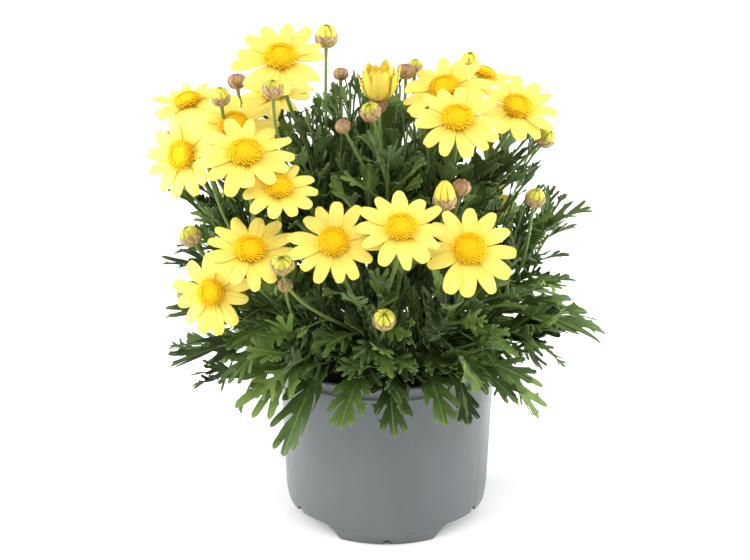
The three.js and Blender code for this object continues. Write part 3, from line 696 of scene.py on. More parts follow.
def blade(sheet: Array, faces: Array, thickness: float, values: dict[str, Array]) -> Patch:
    """A thin closed blade round a sheet of points.

    Args:
        sheet: The points of its middle sheet.
        faces: The sheet's faces, three- or four-sided, seen from above.
        thickness: From face to face.
        values: The values at the sheet's points.

    Returns:
        The blade, with its lower face marked in `under`.
    """
    normals = np.zeros_like(sheet)
    across = np.cross(sheet[faces[:, 1]] - sheet[faces[:, 0]], sheet[faces[:, 2]] - sheet[faces[:, 0]])
    for corner in range(faces.shape[1]):
        np.add.at(normals, faces[:, corner], across)
    lift = unit(normals) * thickness / 2
    n = len(sheet)
    a, b = rim_edges(faces).T
    sides = np.column_stack([b, a, a + n, b + n])
    both = {name: np.concatenate([v, v]) for name, v in values.items()}
    both["under"] = np.repeat([0.0, 1.0], n)
    return Patch(np.vstack([sheet + lift, sheet - lift]), [faces, faces[:, ::-1] + n, sides], both)


def ring(radius: float | Array, angle: Array, z: float | Array) -> Array:
    """Points round the axis: their distances from it, their angles and their heights."""
    return np.column_stack([radius * np.cos(angle), radius * np.sin(angle), np.full_like(angle, z)])


def closed(rings: Sequence[Array], start: Sequence[float], end: Sequence[float]) -> Patch:
    """A body of rings with as many points each, closed by a point at each end.

    Args:
        rings: The rings' points.
        start: The point that closes the first ring.
        end: The point that closes the last ring.

    Returns:
        The body, with `along` running from ring to ring.
    """
    sides = len(rings[0])
    n = len(rings) * sides
    first, last = np.arange(sides), n - sides + np.arange(sides)
    near = np.column_stack([np.roll(first, -1), first, np.full(sides, n)])
    far = np.column_stack([last, np.roll(last, -1), np.full(sides, n + 1)])
    along = np.concatenate([np.repeat(np.linspace(0, 1, len(rings)), sides), [0, 1]])
    faces = [grid(len(rings), sides, wrap=True), near, far]
    return Patch(np.vstack([*rings, start, end]), faces, {"along": along})


def turned(profile: Array, sides: int) -> Patch:
    """A turned solid about +Z.

    Args:
        profile: Radius and height, from a point on the axis at the bottom to one at the top.
        sides: How many points there are in a ring.

    Returns:
        The solid, with `along` running from its bottom to its top.
    """
    turn = np.linspace(0, 2 * math.pi, sides, endpoint=False)
    rings = [ring(radius, turn, z) for radius, z in profile[1:-1]]
    return closed(rings, (0, 0, profile[0, 1]), (0, 0, profile[-1, 1]))


def tube(path: Array, radii: Array, sides: int, ridge: float) -> Patch:
    """A closed rod along a path, with five low ridges.

    Args:
        path: The points of its middle line.
        radii: Its radius at each.
        sides: How many points there are round it.
        ridge: How far its ridges stand out, as a share of the radius.

    Returns:
        The rod, with `along` running from start to end and `mark` high on its ridges.
    """
    tangents = unit(np.gradient(path, axis=0))
    side = unit(np.cross(tangents[0], SLANT))
    turn = np.linspace(0, 2 * math.pi, sides, endpoint=False)
    swell = 0.5 + 0.5 * np.cos(STALK_RIDGES * turn)
    rings = []
    for point, tangent, radius in zip(path, tangents, radii):
        side = unit(side - tangent * (side @ tangent))
        other = np.cross(tangent, side)
        reach = radius * (1 + ridge * swell)[:, None]
        rings.append(point + reach * (np.cos(turn)[:, None] * side + np.sin(turn)[:, None] * other))
    rod = closed(rings, path[0], path[-1])
    rod.values["mark"] = np.concatenate([np.tile(swell, len(path)), [0, 0]])
    return rod


# Finishes
def colour(red: int, green: int, blue: int) -> Colour:
    """A screen colour from 0 to 255 as Blender's linear one."""
    linear = [((c / 255 + 0.055) / 1.055) ** 2.4 if c > 10 else c / 3294.6 for c in (red, green, blue)]
    return (*linear, 1.0)


class Graph:
    """Builds a material's nodes, one step at a time, round one Principled shader."""

    def __init__(self, name: str, **constants: float | tuple) -> None:
        """Starts a material.

        Args:
            name: The material's name.
            constants: Values that are the same all over, by the shader socket's name in small letters.
        """
        self.material = bpy.data.materials.new(name)
        self.material.use_nodes = True
        self.nodes = self.material.node_tree.nodes
        self.links = self.material.node_tree.links
        self.shader = next(n for n in self.nodes if n.type == "BSDF_PRINCIPLED")
        sockets = {s.name.lower().replace(" ", "_"): s for s in self.shader.inputs}
        for key, value in constants.items():
            sockets[key].default_value = value

    def node(
        self, kind: str, *inputs: "Socket | float | tuple | None", **settings: object
    ) -> bpy.types.Node:
        """Adds a node.

        Args:
            kind: The node's type.
            inputs: What its first sockets get, in order: another's output, a constant, or None to leave it.
            settings: Its properties.

        Returns:
            The node.
        """
        made = self.nodes.new(kind)
        for key, value in settings.items():
            setattr(made, key, value)
        for socket, value in zip(made.inputs, inputs):
            self.feed(socket, value)
        return made

    def feed(self, socket: Socket, value: "Socket | float | tuple | None") -> None:
        """Links or sets one socket.

        Args:
            socket: The socket.
            value: Another's output, a constant, or None.
        """
        if isinstance(value, Socket):
            self.links.new(value, socket)
        elif value is not None:
            socket.default_value = value

    def value(self, name: str) -> Socket:
        """One of the values that the mesh holds at its points."""
        return self.node("ShaderNodeAttribute", attribute_name=name).outputs["Fac"]

    def place(self) -> Socket:
        """Where on the object a point is, in metres."""
        return self.node("ShaderNodeTexCoord").outputs["Object"]

    def math(self, operation: str, a: "Socket | float", b: "Socket | float" = 0.0) -> Socket:
        """One step of arithmetic."""
        return self.node("ShaderNodeMath", a, b, operation=operation).outputs[0]

    def ease(self, x: Socket, low: float, high: float, to: Pair = (0.0, 1.0)) -> Socket:
        """A smooth change of x from low to high."""
        kind = {"interpolation_type": "SMOOTHSTEP"}
        return self.node("ShaderNodeMapRange", x, low, high, *to, **kind).outputs[0]

    def mix(self, share: "Socket | float", a: "Socket | Colour", b: "Socket | Colour") -> Socket:
        """A mix of two colours.

        Args:
            share: How much of the second colour it has.
            a: The first colour.
            b: The second colour.

        Returns:
            The mixed colour.
        """
        made = self.node("ShaderNodeMix", data_type="RGBA")
        self.feed(made.inputs["Factor"], share)
        self.feed(next(s for s in made.inputs if s.name == "A" and s.type == "RGBA"), a)
        self.feed(next(s for s in made.inputs if s.name == "B" and s.type == "RGBA"), b)
        return next(s for s in made.outputs if s.type == "RGBA")

    def ramp(self, x: Socket, stops: Sequence[tuple[float, Colour]]) -> Socket:
        """A run of colours over x, from 0 to 1.

        Args:
            x: Where on the run.
            stops: Where each colour is, and the colour.

        Returns:
            The colour.
        """
        made = self.node("ShaderNodeValToRGB", x)
        band = made.color_ramp
        band.elements[0].position, band.elements[0].color = stops[0]
        band.elements[1].position, band.elements[1].color = stops[-1]
        for position, tint in stops[1:-1]:
            band.elements.new(position).color = tint
        return made.outputs["Color"]

    def noise(
        self, scale: float, detail: float = 3.0, vector: Socket | None = None, rough: float = 0.55
    ) -> Socket:
        """Cloudy noise, from 0 to 1.

        Args:
            scale: How many bumps.
            detail: How many finer layers it has.
            vector: The place to read it at, or None for the place on the object.
            rough: How strong the finer layers are.

        Returns:
            The noise.
        """
        made = self.node("ShaderNodeTexNoise")
        self.feed(made.inputs["Vector"], vector or self.place())
        for name, value in (("Scale", scale), ("Detail", detail), ("Roughness", rough)):
            made.inputs[name].default_value = value
        return made.outputs["Fac"]

    def spots(self, scale: float) -> Socket:
        """The distance to the nearest of scattered spots.

        Args:
            scale: How many spots a metre.

        Returns:
            The distance.
        """
        made = self.node("ShaderNodeTexVoronoi")
        self.feed(made.inputs["Vector"], self.place())
        made.inputs["Scale"].default_value = scale
        return made.outputs["Distance"]

    def stretched(self, x: float, y: float, z: float) -> Socket:
        """Where a point is, with each axis scaled."""
        return self.node("ShaderNodeMapping", self.place(), None, None, (x, y, z)).outputs[0]

    def streaked(self, narrow: float, apart: float) -> Socket:
        """Where a point is on its blade, for streaks so narrow that run along it and differ by its tone.

        Args:
            narrow: How many times the streaks are narrower than long.
            apart: How far the pattern moves from blade to blade.

        Returns:
            The place.
        """
        across = self.math("MULTIPLY", self.value("mark"), narrow)
        own = self.math("MULTIPLY", self.value("tone"), apart)
        return self.node("ShaderNodeCombineXYZ", across, self.value("along"), own).outputs[0]

    def bump(self, height: Socket, depth: float, strength: float) -> None:
        """Gives the shader a relief.

        Args:
            height: The relief, from 0 to 1.
            depth: Its depth in metres.
            strength: How strongly it shows.
        """
        made = self.node("ShaderNodeBump")
        made.inputs["Strength"].default_value = strength
        made.inputs["Distance"].default_value = depth
        self.feed(made.inputs["Height"], height)
        self.feed(self.shader.inputs["Normal"], made.outputs["Normal"])

    def finish(self, base: Socket, roughness: Socket | None = None) -> Material:
        """Sets what varies on the shader.

        Args:
            base: The colour.
            roughness: The roughness, where it varies.

        Returns:
            The material.
        """
        self.feed(self.shader.inputs["Base Color"], base)
        if roughness is not None:
            self.feed(self.shader.inputs["Roughness"], roughness)
        return self.material


@dataclass(frozen=True)
class LeafFinish:
    """Deep green blades with a faint paler rib, greyer below, patchy and faintly waxy."""

    deep: Colour = colour(22, 37, 8)
    middle: Colour = colour(60, 85, 28)
    light: Colour = colour(112, 140, 62)
    rib: Colour = colour(132, 156, 98)
    below: Colour = colour(104, 124, 84)
    tip: Colour = colour(122, 134, 62)
    rib_width: float = 0.6

    def make(self) -> Material:
        """Makes the material.

        Returns:
            The material.
        """
        g = Graph(
            "leaf", specular_ior_level=0.22, subsurface_weight=0.05,
            subsurface_scale=0.0015, subsurface_radius=(0.5, 1.0, 0.2),
        )
        patches = g.noise(62, 3)
        grain = g.noise(850, 4, rough=0.65)
        cloud = g.math("SUBTRACT", g.math("MULTIPLY", patches, 0.8), 0.4)
        shade = g.math("ADD", g.math("MULTIPLY", g.value("tone"), 0.9), cloud)
        base = g.ramp(g.math("ADD", shade, 0.05), [(0.0, self.deep), (0.5, self.middle), (1.0, self.light)])
        base = g.mix(g.ease(grain, 0.42, 0.75, (0.0, 0.35)), base, self.deep)
        rib = g.ease(g.value("mark"), 0.0, self.rib_width, (0.5, 0.0))
        base = g.mix(rib, base, self.rib)
        base = g.mix(g.math("MULTIPLY", g.value("under"), 0.5), base, self.below)
        base = g.mix(g.ease(g.value("along"), 0.92, 1.02, (0.0, 0.45)), base, self.tip)
        relief = g.math("SUBTRACT", g.math("MULTIPLY", grain, 0.5), rib)
        g.bump(relief, 0.0006, 0.7)
        return g.finish(base, g.ease(patches, 0.3, 0.7, (0.46, 0.66)))


@dataclass(frozen=True)
class StemFinish:
    """Green stalks, paler on their ridges, with stems turning brown at the foot."""

    young: Colour = colour(92, 118, 52)
    pale: Colour = colour(134, 154, 86)
    foot: Colour = colour(92, 80, 52)

    def make(self) -> Material:
        """Makes the material.

        Returns:
            The material.
        """
        g = Graph("stalk", roughness=0.52, specular_ior_level=0.35)
        grain = g.noise(600, 3, g.stretched(1, 1, 0.25))
        base = g.mix(g.math("MULTIPLY", g.value("mark"), 0.5), self.young, self.pale)
        base = g.mix(g.ease(grain, 0.4, 0.8, (0.0, 0.35)), base, self.pale)
        woody = g.math("MULTIPLY", g.value("tone"), g.ease(g.value("along"), 0.0, 0.35, (1.0, 0.0)))
        base = g.mix(woody, base, self.foot)
        g.bump(grain, 0.0003, 0.5)
        return g.finish(base)


@dataclass(frozen=True)
class PetalFinish:
    """Lemon yellow petals that let light through, warmer at the root, with lengthwise streaks and painted
    shade darkening their edges where they overlap.
    """

    root: Colour = colour(246, 214, 82)
    middle: Colour = colour(248, 225, 102)
    outer: Colour = colour(249, 228, 118)
    # Used for the streaks, and for the painted shade along the petals' edges
    streak_and_edge_shade: Colour = colour(234, 204, 62)
    below: Colour = colour(240, 216, 92)
    name: str = "petal"

    def make(self) -> Material:
        """Makes the material.

        Returns:
            The material.
        """
        g = Graph(
            self.name, specular_ior_level=0.2, subsurface_weight=0.12,
            subsurface_scale=0.002, subsurface_radius=(1.0, 0.8, 0.2),
        )
        across, along, tone = g.value("mark"), g.value("along"), g.value("tone")
        fine = g.noise(1.6, 3, g.streaked(10.0, 40.0))
        broad = g.noise(1.0, 1, g.streaked(3.2, 40.0))
        stops = [(0.16, self.root), (0.3, self.middle), (0.75, self.outer), (1.0, self.middle)]
        base = g.ramp(along, stops)
        fade = g.ease(along, 0.25, 1.0, (0.85, 0.4))
        base = g.mix(g.math("MULTIPLY", g.ease(fine, 0.5, 0.72), fade), base, self.streak_and_edge_shade)
        base = g.mix(g.ease(broad, 0.5, 0.7, (0.0, 0.4)), base, self.middle)
        # Painted shade: each petal's edges darkened towards the streak colour, where neighbours overlap
        margin = g.ease(g.math("ABSOLUTE", across), 0.78, 1.0, (0.0, 0.45))
        base = g.mix(margin, base, self.streak_and_edge_shade)
        base = g.mix(g.math("MULTIPLY", g.value("under"), 0.6), base, self.below)
        g.bump(g.math("ADD", fine, broad), 0.0007, 0.5)
        return g.finish(base, g.ease(tone, 0.0, 1.0, (0.5, 0.62)))


# The opening bloom's petals, a deeper yellow, with painted shade in the darker orange at their roots, where
# they stand close in the cup
YOUNG_PETAL = PetalFinish(
    root=colour(222, 172, 42), middle=colour(250, 218, 72), outer=colour(252, 228, 92),
    streak_and_edge_shade=colour(232, 188, 50), name="young_petal",
)


@dataclass(frozen=True)
class FoldedFinish:
    """The folded petals of a bud: green while they are small, then yellow, with painted shade darkening the
    creases between them.
    """

    green: Colour = colour(146, 150, 50)
    lime: Colour = colour(206, 200, 66)
    yellow: Colour = colour(247, 226, 84)
    painted_crease_shade: Colour = colour(72, 70, 20)

    def make(self) -> Material:
        """Makes the material.

        Returns:
            The material.
        """
        g = Graph("folded_petal", roughness=0.55, specular_ior_level=0.25)
        across, along, tone = g.value("mark"), g.value("along"), g.value("tone")
        streaks = g.noise(1.5, 2, g.streaked(7.0, 30.0))
        base = g.ramp(tone, [(0.1, self.green), (0.5, self.lime), (0.9, self.yellow)])
        base = g.mix(g.ease(along, 0.0, 0.5, (0.35, 0.0)), base, self.green)
        base = g.mix(g.ease(streaks, 0.48, 0.7, (0.0, 0.4)), base, self.green)
        # Painted shade: each folded petal darkened towards its sides, down in the creases between petals
        base = g.mix(g.ease(across, 0.5, 0.95, (0.0, 0.85)), base, self.painted_crease_shade)
        g.bump(streaks, 0.0004, 0.5)
        return g.finish(base)


@dataclass(frozen=True)
class FloretFinish:
    """Tightly packed florets, from orange-brown gaps, which are painted shade down between them, to golden
    tips, and closed ones in the middle.
    """

    gap: Colour = colour(158, 86, 4)
    flank: Colour = colour(232, 160, 8)
    tip: Colour = colour(253, 219, 26)
    closed: Colour = colour(246, 199, 8)
    shade: Colour = colour(236, 180, 6)
    green: Colour = colour(224, 206, 40)

    def make(self) -> Material:
        """Makes the material.

        Returns:
            The material.
        """
        g = Graph(
            "floret", roughness=0.66, specular_ior_level=0.12, subsurface_weight=0.08,
            subsurface_scale=0.001, subsurface_radius=(1.0, 0.6, 0.1),
        )
        height = g.value("mark")
        # Painted shade: each floret darker towards its foot, down between its packed neighbours, the closed
        # ones too
        base = g.ramp(height, [(0.0, self.gap), (0.55, self.flank), (0.9, self.tip)])
        shut = g.ramp(height, [(0.0, self.shade), (0.5, self.closed), (1.0, self.closed)])
        base = g.mix(g.value("under"), base, shut)
        centre = g.ease(g.value("along"), 0.0, 0.4, (0.45, 0.0))
        base = g.mix(centre, base, self.green)
        base = g.mix(g.math("MULTIPLY", g.value("tone"), 0.3), base, self.flank)
        g.bump(g.noise(2500, 2), 0.0002, 0.5)
        return g.finish(base)


@dataclass(frozen=True)
class ScaleFinish:
    """The bracts of cups and buds: a green or cream stripe between wide papery margins of pinkish brown, with
    a dark outline that is painted shade in the gaps between them.
    """

    green: Colour = colour(108, 126, 56)
    cream: Colour = colour(180, 168, 100)
    brown: Colour = colour(158, 124, 84)
    margin: Colour = colour(160, 112, 92)
    # Painted shade: the dark outline of the gaps between bracts
    edge: Colour = colour(92, 56, 44)

    def make(self) -> Material:
        """Makes the material.

        Returns:
            The material.
        """
        g = Graph("bract", roughness=0.58, specular_ior_level=0.3)
        grain = g.noise(1400, 3)
        across, along, tone = g.value("mark"), g.value("along"), g.value("tone")
        base = g.ramp(tone, [(0.0, self.brown), (0.45, self.cream), (1.0, self.green)])
        base = g.mix(g.ease(along, 0.5, 0.95, (0.0, 0.8)), base, self.margin)
        wide = g.ease(across, 0.36, 0.85, (0.0, 0.85))
        base = g.mix(wide, base, self.margin)
        # Painted shade: a dark outline round each bract, where the gaps between overlapping bracts fall into
        # shade
        base = g.mix(g.ease(across, 0.84, 0.98, (0.0, 0.85)), base, self.edge)
        base = g.mix(g.ease(grain, 0.42, 0.75, (0.0, 0.3)), base, self.cream)
        g.bump(g.math("SUBTRACT", grain, wide), 0.0003, 0.6)
        return g.finish(base)


@dataclass(frozen=True)
class PlasticFinish:
    """Grey moulded plastic, satin, with faint rings, clouding, scuffs and dust low down."""

    body: Colour = colour(88, 93, 95)
    cloud: Colour = colour(77, 82, 85)
    scuff: Colour = colour(112, 116, 117)
    dust: Colour = colour(112, 108, 98)

    def make(self) -> Material:
        """Makes the material.

        Returns:
            The material.
        """
        g = Graph("plastic", specular_ior_level=0.6)
        clouds = g.noise(22, 4, g.stretched(1, 1, 0.45))
        rings = g.noise(40, 4, g.stretched(0.25, 0.25, 14))
        scuffs = g.noise(130, 5, g.stretched(1.4, 1.4, 0.22), rough=0.7)
        grit = g.spots(420)
        base = g.mix(g.ease(clouds, 0.35, 0.7, (0.0, 0.65)), self.body, self.cloud)
        base = g.mix(g.ease(scuffs, 0.66, 0.8, (0.0, 0.35)), base, self.scuff)
        speck = g.math("MULTIPLY", g.ease(grit, 0.06, 0.14, (1.0, 0.0)), g.ease(clouds, 0.5, 0.62))
        base = g.mix(g.math("MULTIPLY", speck, 0.35), base, self.dust)
        low = g.ease(g.value("along"), 0.0, 0.12, (0.4, 0.0))
        base = g.mix(g.math("MULTIPLY", low, scuffs), base, self.dust)
        relief = g.math("ADD", g.math("MULTIPLY", rings, 0.5), g.noise(900, 2))
        g.bump(relief, 0.0002, 0.3)
        return g.finish(base, g.ease(scuffs, 0.3, 0.75, (0.3, 0.46)))


@dataclass(frozen=True)
class PeatFinish:
    """Dark moist peat with brown fibres and a few pale grains."""

    dark: Colour = colour(26, 20, 15)
    brown: Colour = colour(66, 48, 34)
    pale: Colour = colour(150, 140, 120)

    def make(self) -> Material:
        """Makes the material.

        Returns:
            The material.
        """
        g = Graph("peat", roughness=0.92, specular_ior_level=0.2)
        crumbs = g.noise(420, 6, rough=0.75)
        fibres = g.noise(300, 4, g.stretched(1, 0.15, 1))
        base = g.mix(g.ease(crumbs, 0.4, 0.68), self.dark, self.brown)
        base = g.mix(g.ease(fibres, 0.62, 0.7, (0.0, 0.5)), base, self.brown)
        base = g.mix(g.ease(g.spots(170), 0.05, 0.09, (0.7, 0.0)), base, self.pale)
        g.bump(crumbs, 0.002, 0.9)
        return g.finish(base)


class Finishes:
    """Every material of the plant and its pot, made once."""

    def __init__(self) -> None:
        """Makes them."""
        self.leaf = LeafFinish().make()
        self.stalk = StemFinish().make()
        self.bract = ScaleFinish().make()
        self.petal = PetalFinish().make()
        self.young_petal = YOUNG_PETAL.make()
        self.folded = FoldedFinish().make()
        self.floret = FloretFinish().make()
        self.plastic = PlasticFinish().make()
        self.peat = PeatFinish().make()


def linked(name: str, data: bpy.types.ID) -> bpy.types.Object:
    """Makes an object and links it to the scene.

    Args:
        name: Its name.
        data: Its mesh, lamp or camera.

    Returns:
        The object.
    """
    made = bpy.data.objects.new(name, data)
    bpy.context.scene.collection.objects.link(made)
    return made


def settle(piece: bpy.types.Object, slot: str, *nodes: str) -> None:
    """Gives a piece its body and the nodes that it stands for.

    Args:
        piece: The finished object.
        slot: The record's material slot; not used.
        nodes: The names of the nodes that it replaces.
    """
    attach(piece, BODY)
    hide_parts(*nodes)
    logging.info("%s stands for %s: %d faces", piece.name, ", ".join(nodes), len(piece.data.polygons))


# The pot and its soil
def wall_radius(z: float | Array) -> float | Array:
    """The outside radius of the pot's tapered wall at a height."""
    taper = (WALL_TOP_RADIUS - WALL_LOW_RADIUS) / (POT_HEIGHT - WALL_LOW_Z)
    return WALL_LOW_RADIUS + taper * (z - WALL_LOW_Z)


@dataclass
class NurseryPot:
    """The turned pot: a rolled rim band, a tapered wall, a rounded corner and three feet with arches."""

    CORNER_Z: ClassVar[tuple[float, ...]] = (0.0, 2.5, 5.0, 8.0, 10.6, 14.0, 18.0, 22.0)
    CORNER_RADIUS: ClassVar[tuple[float, ...]] = (57.6, 58.8, 59.8, 61.2, 62.2, 62.95, 63.5, 63.79)
    ARCH_SIDE: ClassVar[tuple[float, ...]] = (0.0, 22.1, 24.1, 25.7, 27.0, 28.9, 29.4)
    ARCH_RISE: ClassVar[tuple[float, ...]] = (1.0, 1.0, 0.965, 0.86, 0.69, 0.04, 0.0)
    # How far out from the rim's radius, and up from the band's lower edge or the rim's top
    BAND_EDGE: ClassVar[tuple[Pair, ...]] = (
        (-0.5, -0.02), (0.2, 0.2), (0.45, 0.65), (0.35, 1.2), (-0.12, 1.8), (-0.4, 3.0),
    )
    LIP: ClassVar[tuple[Pair, ...]] = (
        (-0.4, -3.4), (0.05, -2.1), (0.36, -1.4), (0.2, -0.6), (-0.1, -0.16), (-0.6, 0.0),
    )
    LOW_ROWS: ClassVar[tuple[float, ...]] = (
        0.3, 1.8, 3.6, 5.4, 6.6, 7.0, 7.5, 7.9, 9.0, 10.6, 12.3, 14.4, 17.0,
    )

    foot_count: int = 3
    arch_top: float = FLOOR_UNDERSIDE - 0.2
    notch_half: float = 2.8
    notch_height: float = 3.6
    notch_depth: float = 4.5
    bead_z: float = 7.4
    bead: float = 0.38
    bead_half: float = 0.42
    rim_slope: float = 3.0

    def columns(self) -> Array:
        """The angles of the mesh's columns, closer together at the arches' corners and the notches.

        Returns:
            The angles in radians.
        """
        angles = [np.arange(0, 360, 1.8)]
        for i in range(2 * self.foot_count):
            middle = 180 / self.foot_count * i
            angles.append(middle + np.linspace(-3.2, 3.2, 17))
            if i % 2:
                angles.extend(middle + s * np.linspace(19.5, 31.5, 19) for s in (-1, 1))
        turned_round = np.unique(np.round(np.concatenate(angles) % 360, 3))
        keep = np.diff(turned_round, append=turned_round[0] + 360) > 0.12
        return np.radians(turned_round[keep])

    def corner_radius(self, z: Array) -> Array:
        """The outside radius at the rounded corner, with the thin bead that runs round it."""
        bead = self.bead * np.exp(-(((z - self.bead_z) / self.bead_half) ** 2))
        return np.interp(z, self.CORNER_Z, self.CORNER_RADIUS) + bead

    def arch(self, spread: Array) -> Array:
        """The height of an arch's edge.

        Args:
            spread: The sine of the angle from its middle.

        Returns:
            The heights.
        """
        low, high = np.zeros_like(spread), np.full_like(spread, self.arch_top)
        for _ in range(24):
            middle = (low + high) / 2
            side = np.interp(middle, self.CORNER_Z, self.CORNER_RADIUS) * spread
            above = self.arch_top * np.interp(side, self.ARCH_SIDE, self.ARCH_RISE) > middle
            low, high = np.where(above, middle, low), np.where(above, high, middle)
        return low

    def lowest(self, angle: Array) -> Array:
        """The height of the foot ring's lower edge.

        Args:
            angle: The angles in radians, round from the front.

        Returns:
            The heights.
        """
        z = np.zeros_like(angle)
        for i in range(2 * self.foot_count):
            off = (angle - math.pi / self.foot_count * i + math.pi) % (2 * math.pi) - math.pi
            spread = np.where(np.abs(off) < 1.2, np.abs(np.sin(off)), 1.0)
            if i % 2:
                z = np.maximum(z, self.arch(spread))
            share = np.clip(1 - (FOOT_RADIUS * spread / self.notch_half) ** 2, 0, 1)
            z = z + np.sqrt(share) * self.notch_height
        return z

    def outer(self) -> list[Pair]:
        """The outside, from above the corner to the rim's top.

        Returns:
            Radius and height, from the bottom up.
        """
        band = POT_HEIGHT - RIM_BAND
        wall = float(wall_radius(band))
        return [
            *((float(wall_radius(z)), float(z)) for z in (22, 30, 45, 60, 75, 90, band - 1.6)),
            (wall, band - 0.5),
            (wall + 0.4, band - 0.12),
            *((RIM_RADIUS + out, band + up) for out, up in self.BAND_EDGE),
            *((RIM_RADIUS + out, POT_HEIGHT + up) for out, up in self.LIP),
        ]

    def inner(self) -> list[Pair]:
        """The inside, from the rim to the floor.

        Returns:
            Radius and height, from the top down.
        """
        band = POT_HEIGHT - RIM_BAND
        return [
            (RIM_RADIUS - 1.2, POT_HEIGHT - 0.08),
            (RIM_RADIUS - WALL, POT_HEIGHT - 0.6),
            (RIM_RADIUS - WALL, band),
            (float(wall_radius(band)) - WALL, band - self.rim_slope),
            *((float(wall_radius(z)) - WALL, float(z)) for z in (75, 50, WALL_LOW_Z)),
            (WALL_LOW_RADIUS - WALL - 0.8, 15.5),
            (FOOT_RADIUS + 2.6, FLOOR_UNDERSIDE + FLOOR + 0.4),
        ]

    def shell(self) -> Patch:
        """The wall and its feet.

        Returns:
            The closed ring.
        """
        angle = self.columns()
        low = self.lowest(angle)
        flat = np.ones_like(angle)
        rows: list[Array] = []
        for i, height in enumerate(self.LOW_ROWS):
            z = np.maximum(height, low + 0.05 * (i + 1))
            rows.append(np.column_stack([self.corner_radius(z), z]))
        for radius, height in self.outer() + self.inner():
            rows.append(np.column_stack([radius * flat, np.maximum(height, low + 0.8)]))
        foot = FOOT_RADIUS - FOOT_RING
        top = np.maximum(FLOOR_UNDERSIDE + FLOOR + 0.05, low + 0.7)
        inside = ((foot + 1.8, top), (foot, top), (foot, low + 0.3), (foot + 0.3, low))
        for radius, height in (*inside, (FOOT_RADIUS - 0.4, low)):
            rows.append(np.column_stack([radius * flat, height]))
        around = np.array(rows)
        radius, z = around[..., 0], around[..., 1]
        points = np.stack([radius * np.sin(angle), -radius * np.cos(angle), z], axis=-1).reshape(-1, 3)
        faces = grid(len(rows), len(angle), wrap=True)
        last = (len(rows) - 1) * len(angle)
        i = np.arange(len(angle))
        closing = np.column_stack([last + i, last + np.roll(i, -1), np.roll(i, -1), i])
        return Patch(points, [faces, closing], {"along": points[:, 2] / POT_HEIGHT})

    def floor(self) -> Patch:
        """The floor, cut back at each drain notch.

        Returns:
            The plate.
        """
        angle = self.columns()
        off = (self.foot_count * angle) % (2 * math.pi) - math.pi
        bite = self.notch_depth * (np.abs(off) / self.foot_count * FOOT_RADIUS < self.notch_half)
        under, top = FLOOR_UNDERSIDE, FLOOR_UNDERSIDE + FLOOR
        rows = []
        for share, z in ((0.02, under), (0.5, under), (1, under), (1, top), (0.5, top), (0.02, top)):
            rows.append(ring((FOOT_RADIUS - 1.0 - bite) * share, angle - math.pi / 2, z))
        plate = closed(rows, (0, 0, under), (0, 0, top))
        plate.values["along"] = plate.points[:, 2] / POT_HEIGHT
        return plate

    def build(self, finishes: Finishes) -> None:
        """Makes the pot.

        Args:
            finishes: The materials.
        """
        mesh = MeshBuilder()
        mesh.add(self.shell())
        mesh.add(self.floor())
        settle(mesh.build("nursery_pot", [finishes.plastic], sharp=38.0), "pot", "pot")


@dataclass
class PottingSoil:
    """The peat: a body that fills the pot, with a bumpy crumbly top and loose crumbs on it."""

    sides: int = 132
    rings: int = 34
    relief: float = 1.5
    edge_dip: float = 2.0
    crumbs: int = 320
    crumb_reach: float = 58.0
    crumb_size: Pair = (0.7, 2.1)
    crumb_height: Pair = (0.5, 0.8)
    seed: int = 71

    def height(self, x: Array, y: Array) -> Array:
        """The height of the soil's top at each place.

        Args:
            x: How far to the right.
            y: How far back.

        Returns:
            The heights.
        """
        places = np.column_stack([x, y])
        broad = [noise.noise(Vector((a / 16, b / 16, 3.1))) for a, b in places]
        fine = [noise.noise(Vector((a / 3.2, b / 3.2, 8.7))) for a, b in places]
        return SOIL_TOP + self.relief * np.array(broad) + 0.55 * self.relief * np.array(fine)

    def body(self) -> Patch:
        """The body of the soil.

        Returns:
            The closed body.
        """
        gap = WALL + 2 * FIT_GAP
        edge = float(wall_radius(SOIL_TOP)) - gap
        angle = np.linspace(0, 2 * math.pi, self.sides, endpoint=False)
        low = FLOOR_UNDERSIDE + FLOOR + FIT_GAP
        sides = [(FOOT_RADIUS - 3 * FIT_GAP, low), (WALL_LOW_RADIUS - gap, WALL_LOW_Z), (edge - 1.4, 70.0)]
        rows = [ring(r, angle, z) for r, z in sides]
        for share in np.linspace(1, 0.02, self.rings):
            row = ring(edge * share, angle, 0.0)
            row[:, 2] = self.height(row[:, 0], row[:, 1]) - self.edge_dip * (share == 1)
            rows.append(row)
        return closed(rows, (0, 0, low), (0, 0, float(rows[-1][:, 2].mean())))

    def crumb(self, draws: Draws) -> Patch:
        """One loose crumb, lying half sunk on the soil.

        Args:
            draws: The run that varies it.

        Returns:
            The crumb.
        """
        size = draws.between(*self.crumb_size)
        squat = draws.between(*self.crumb_height)
        profile = [(0, -squat), (0.75, -0.6 * squat), (1, 0), (0.7, 0.65 * squat), (0, squat)]
        lump = turned(size * np.array(profile), 7)
        swell = np.array([1 + 0.45 * (draws.share() - 0.5) for _ in lump.points])
        r, a = self.crumb_reach * math.sqrt(draws.share()), draws.between(0, 2 * math.pi)
        x, y = r * math.cos(a), r * math.sin(a)
        top = float(self.height(np.array([x]), np.array([y]))[0])
        return Patch(lump.points * swell[:, None] + (x, y, top + 0.25 * size * squat), lump.faces)

    def build(self, finishes: Finishes) -> None:
        """Makes the soil.

        Args:
            finishes: The materials.
        """
        draws = Draws(self.seed)
        mesh = MeshBuilder()
        mesh.add(self.body())
        for _ in range(self.crumbs):
            mesh.add(self.crumb(draws))
        settle(mesh.build("potting_soil", [finishes.peat], sharp=80.0), "soil", "soil")


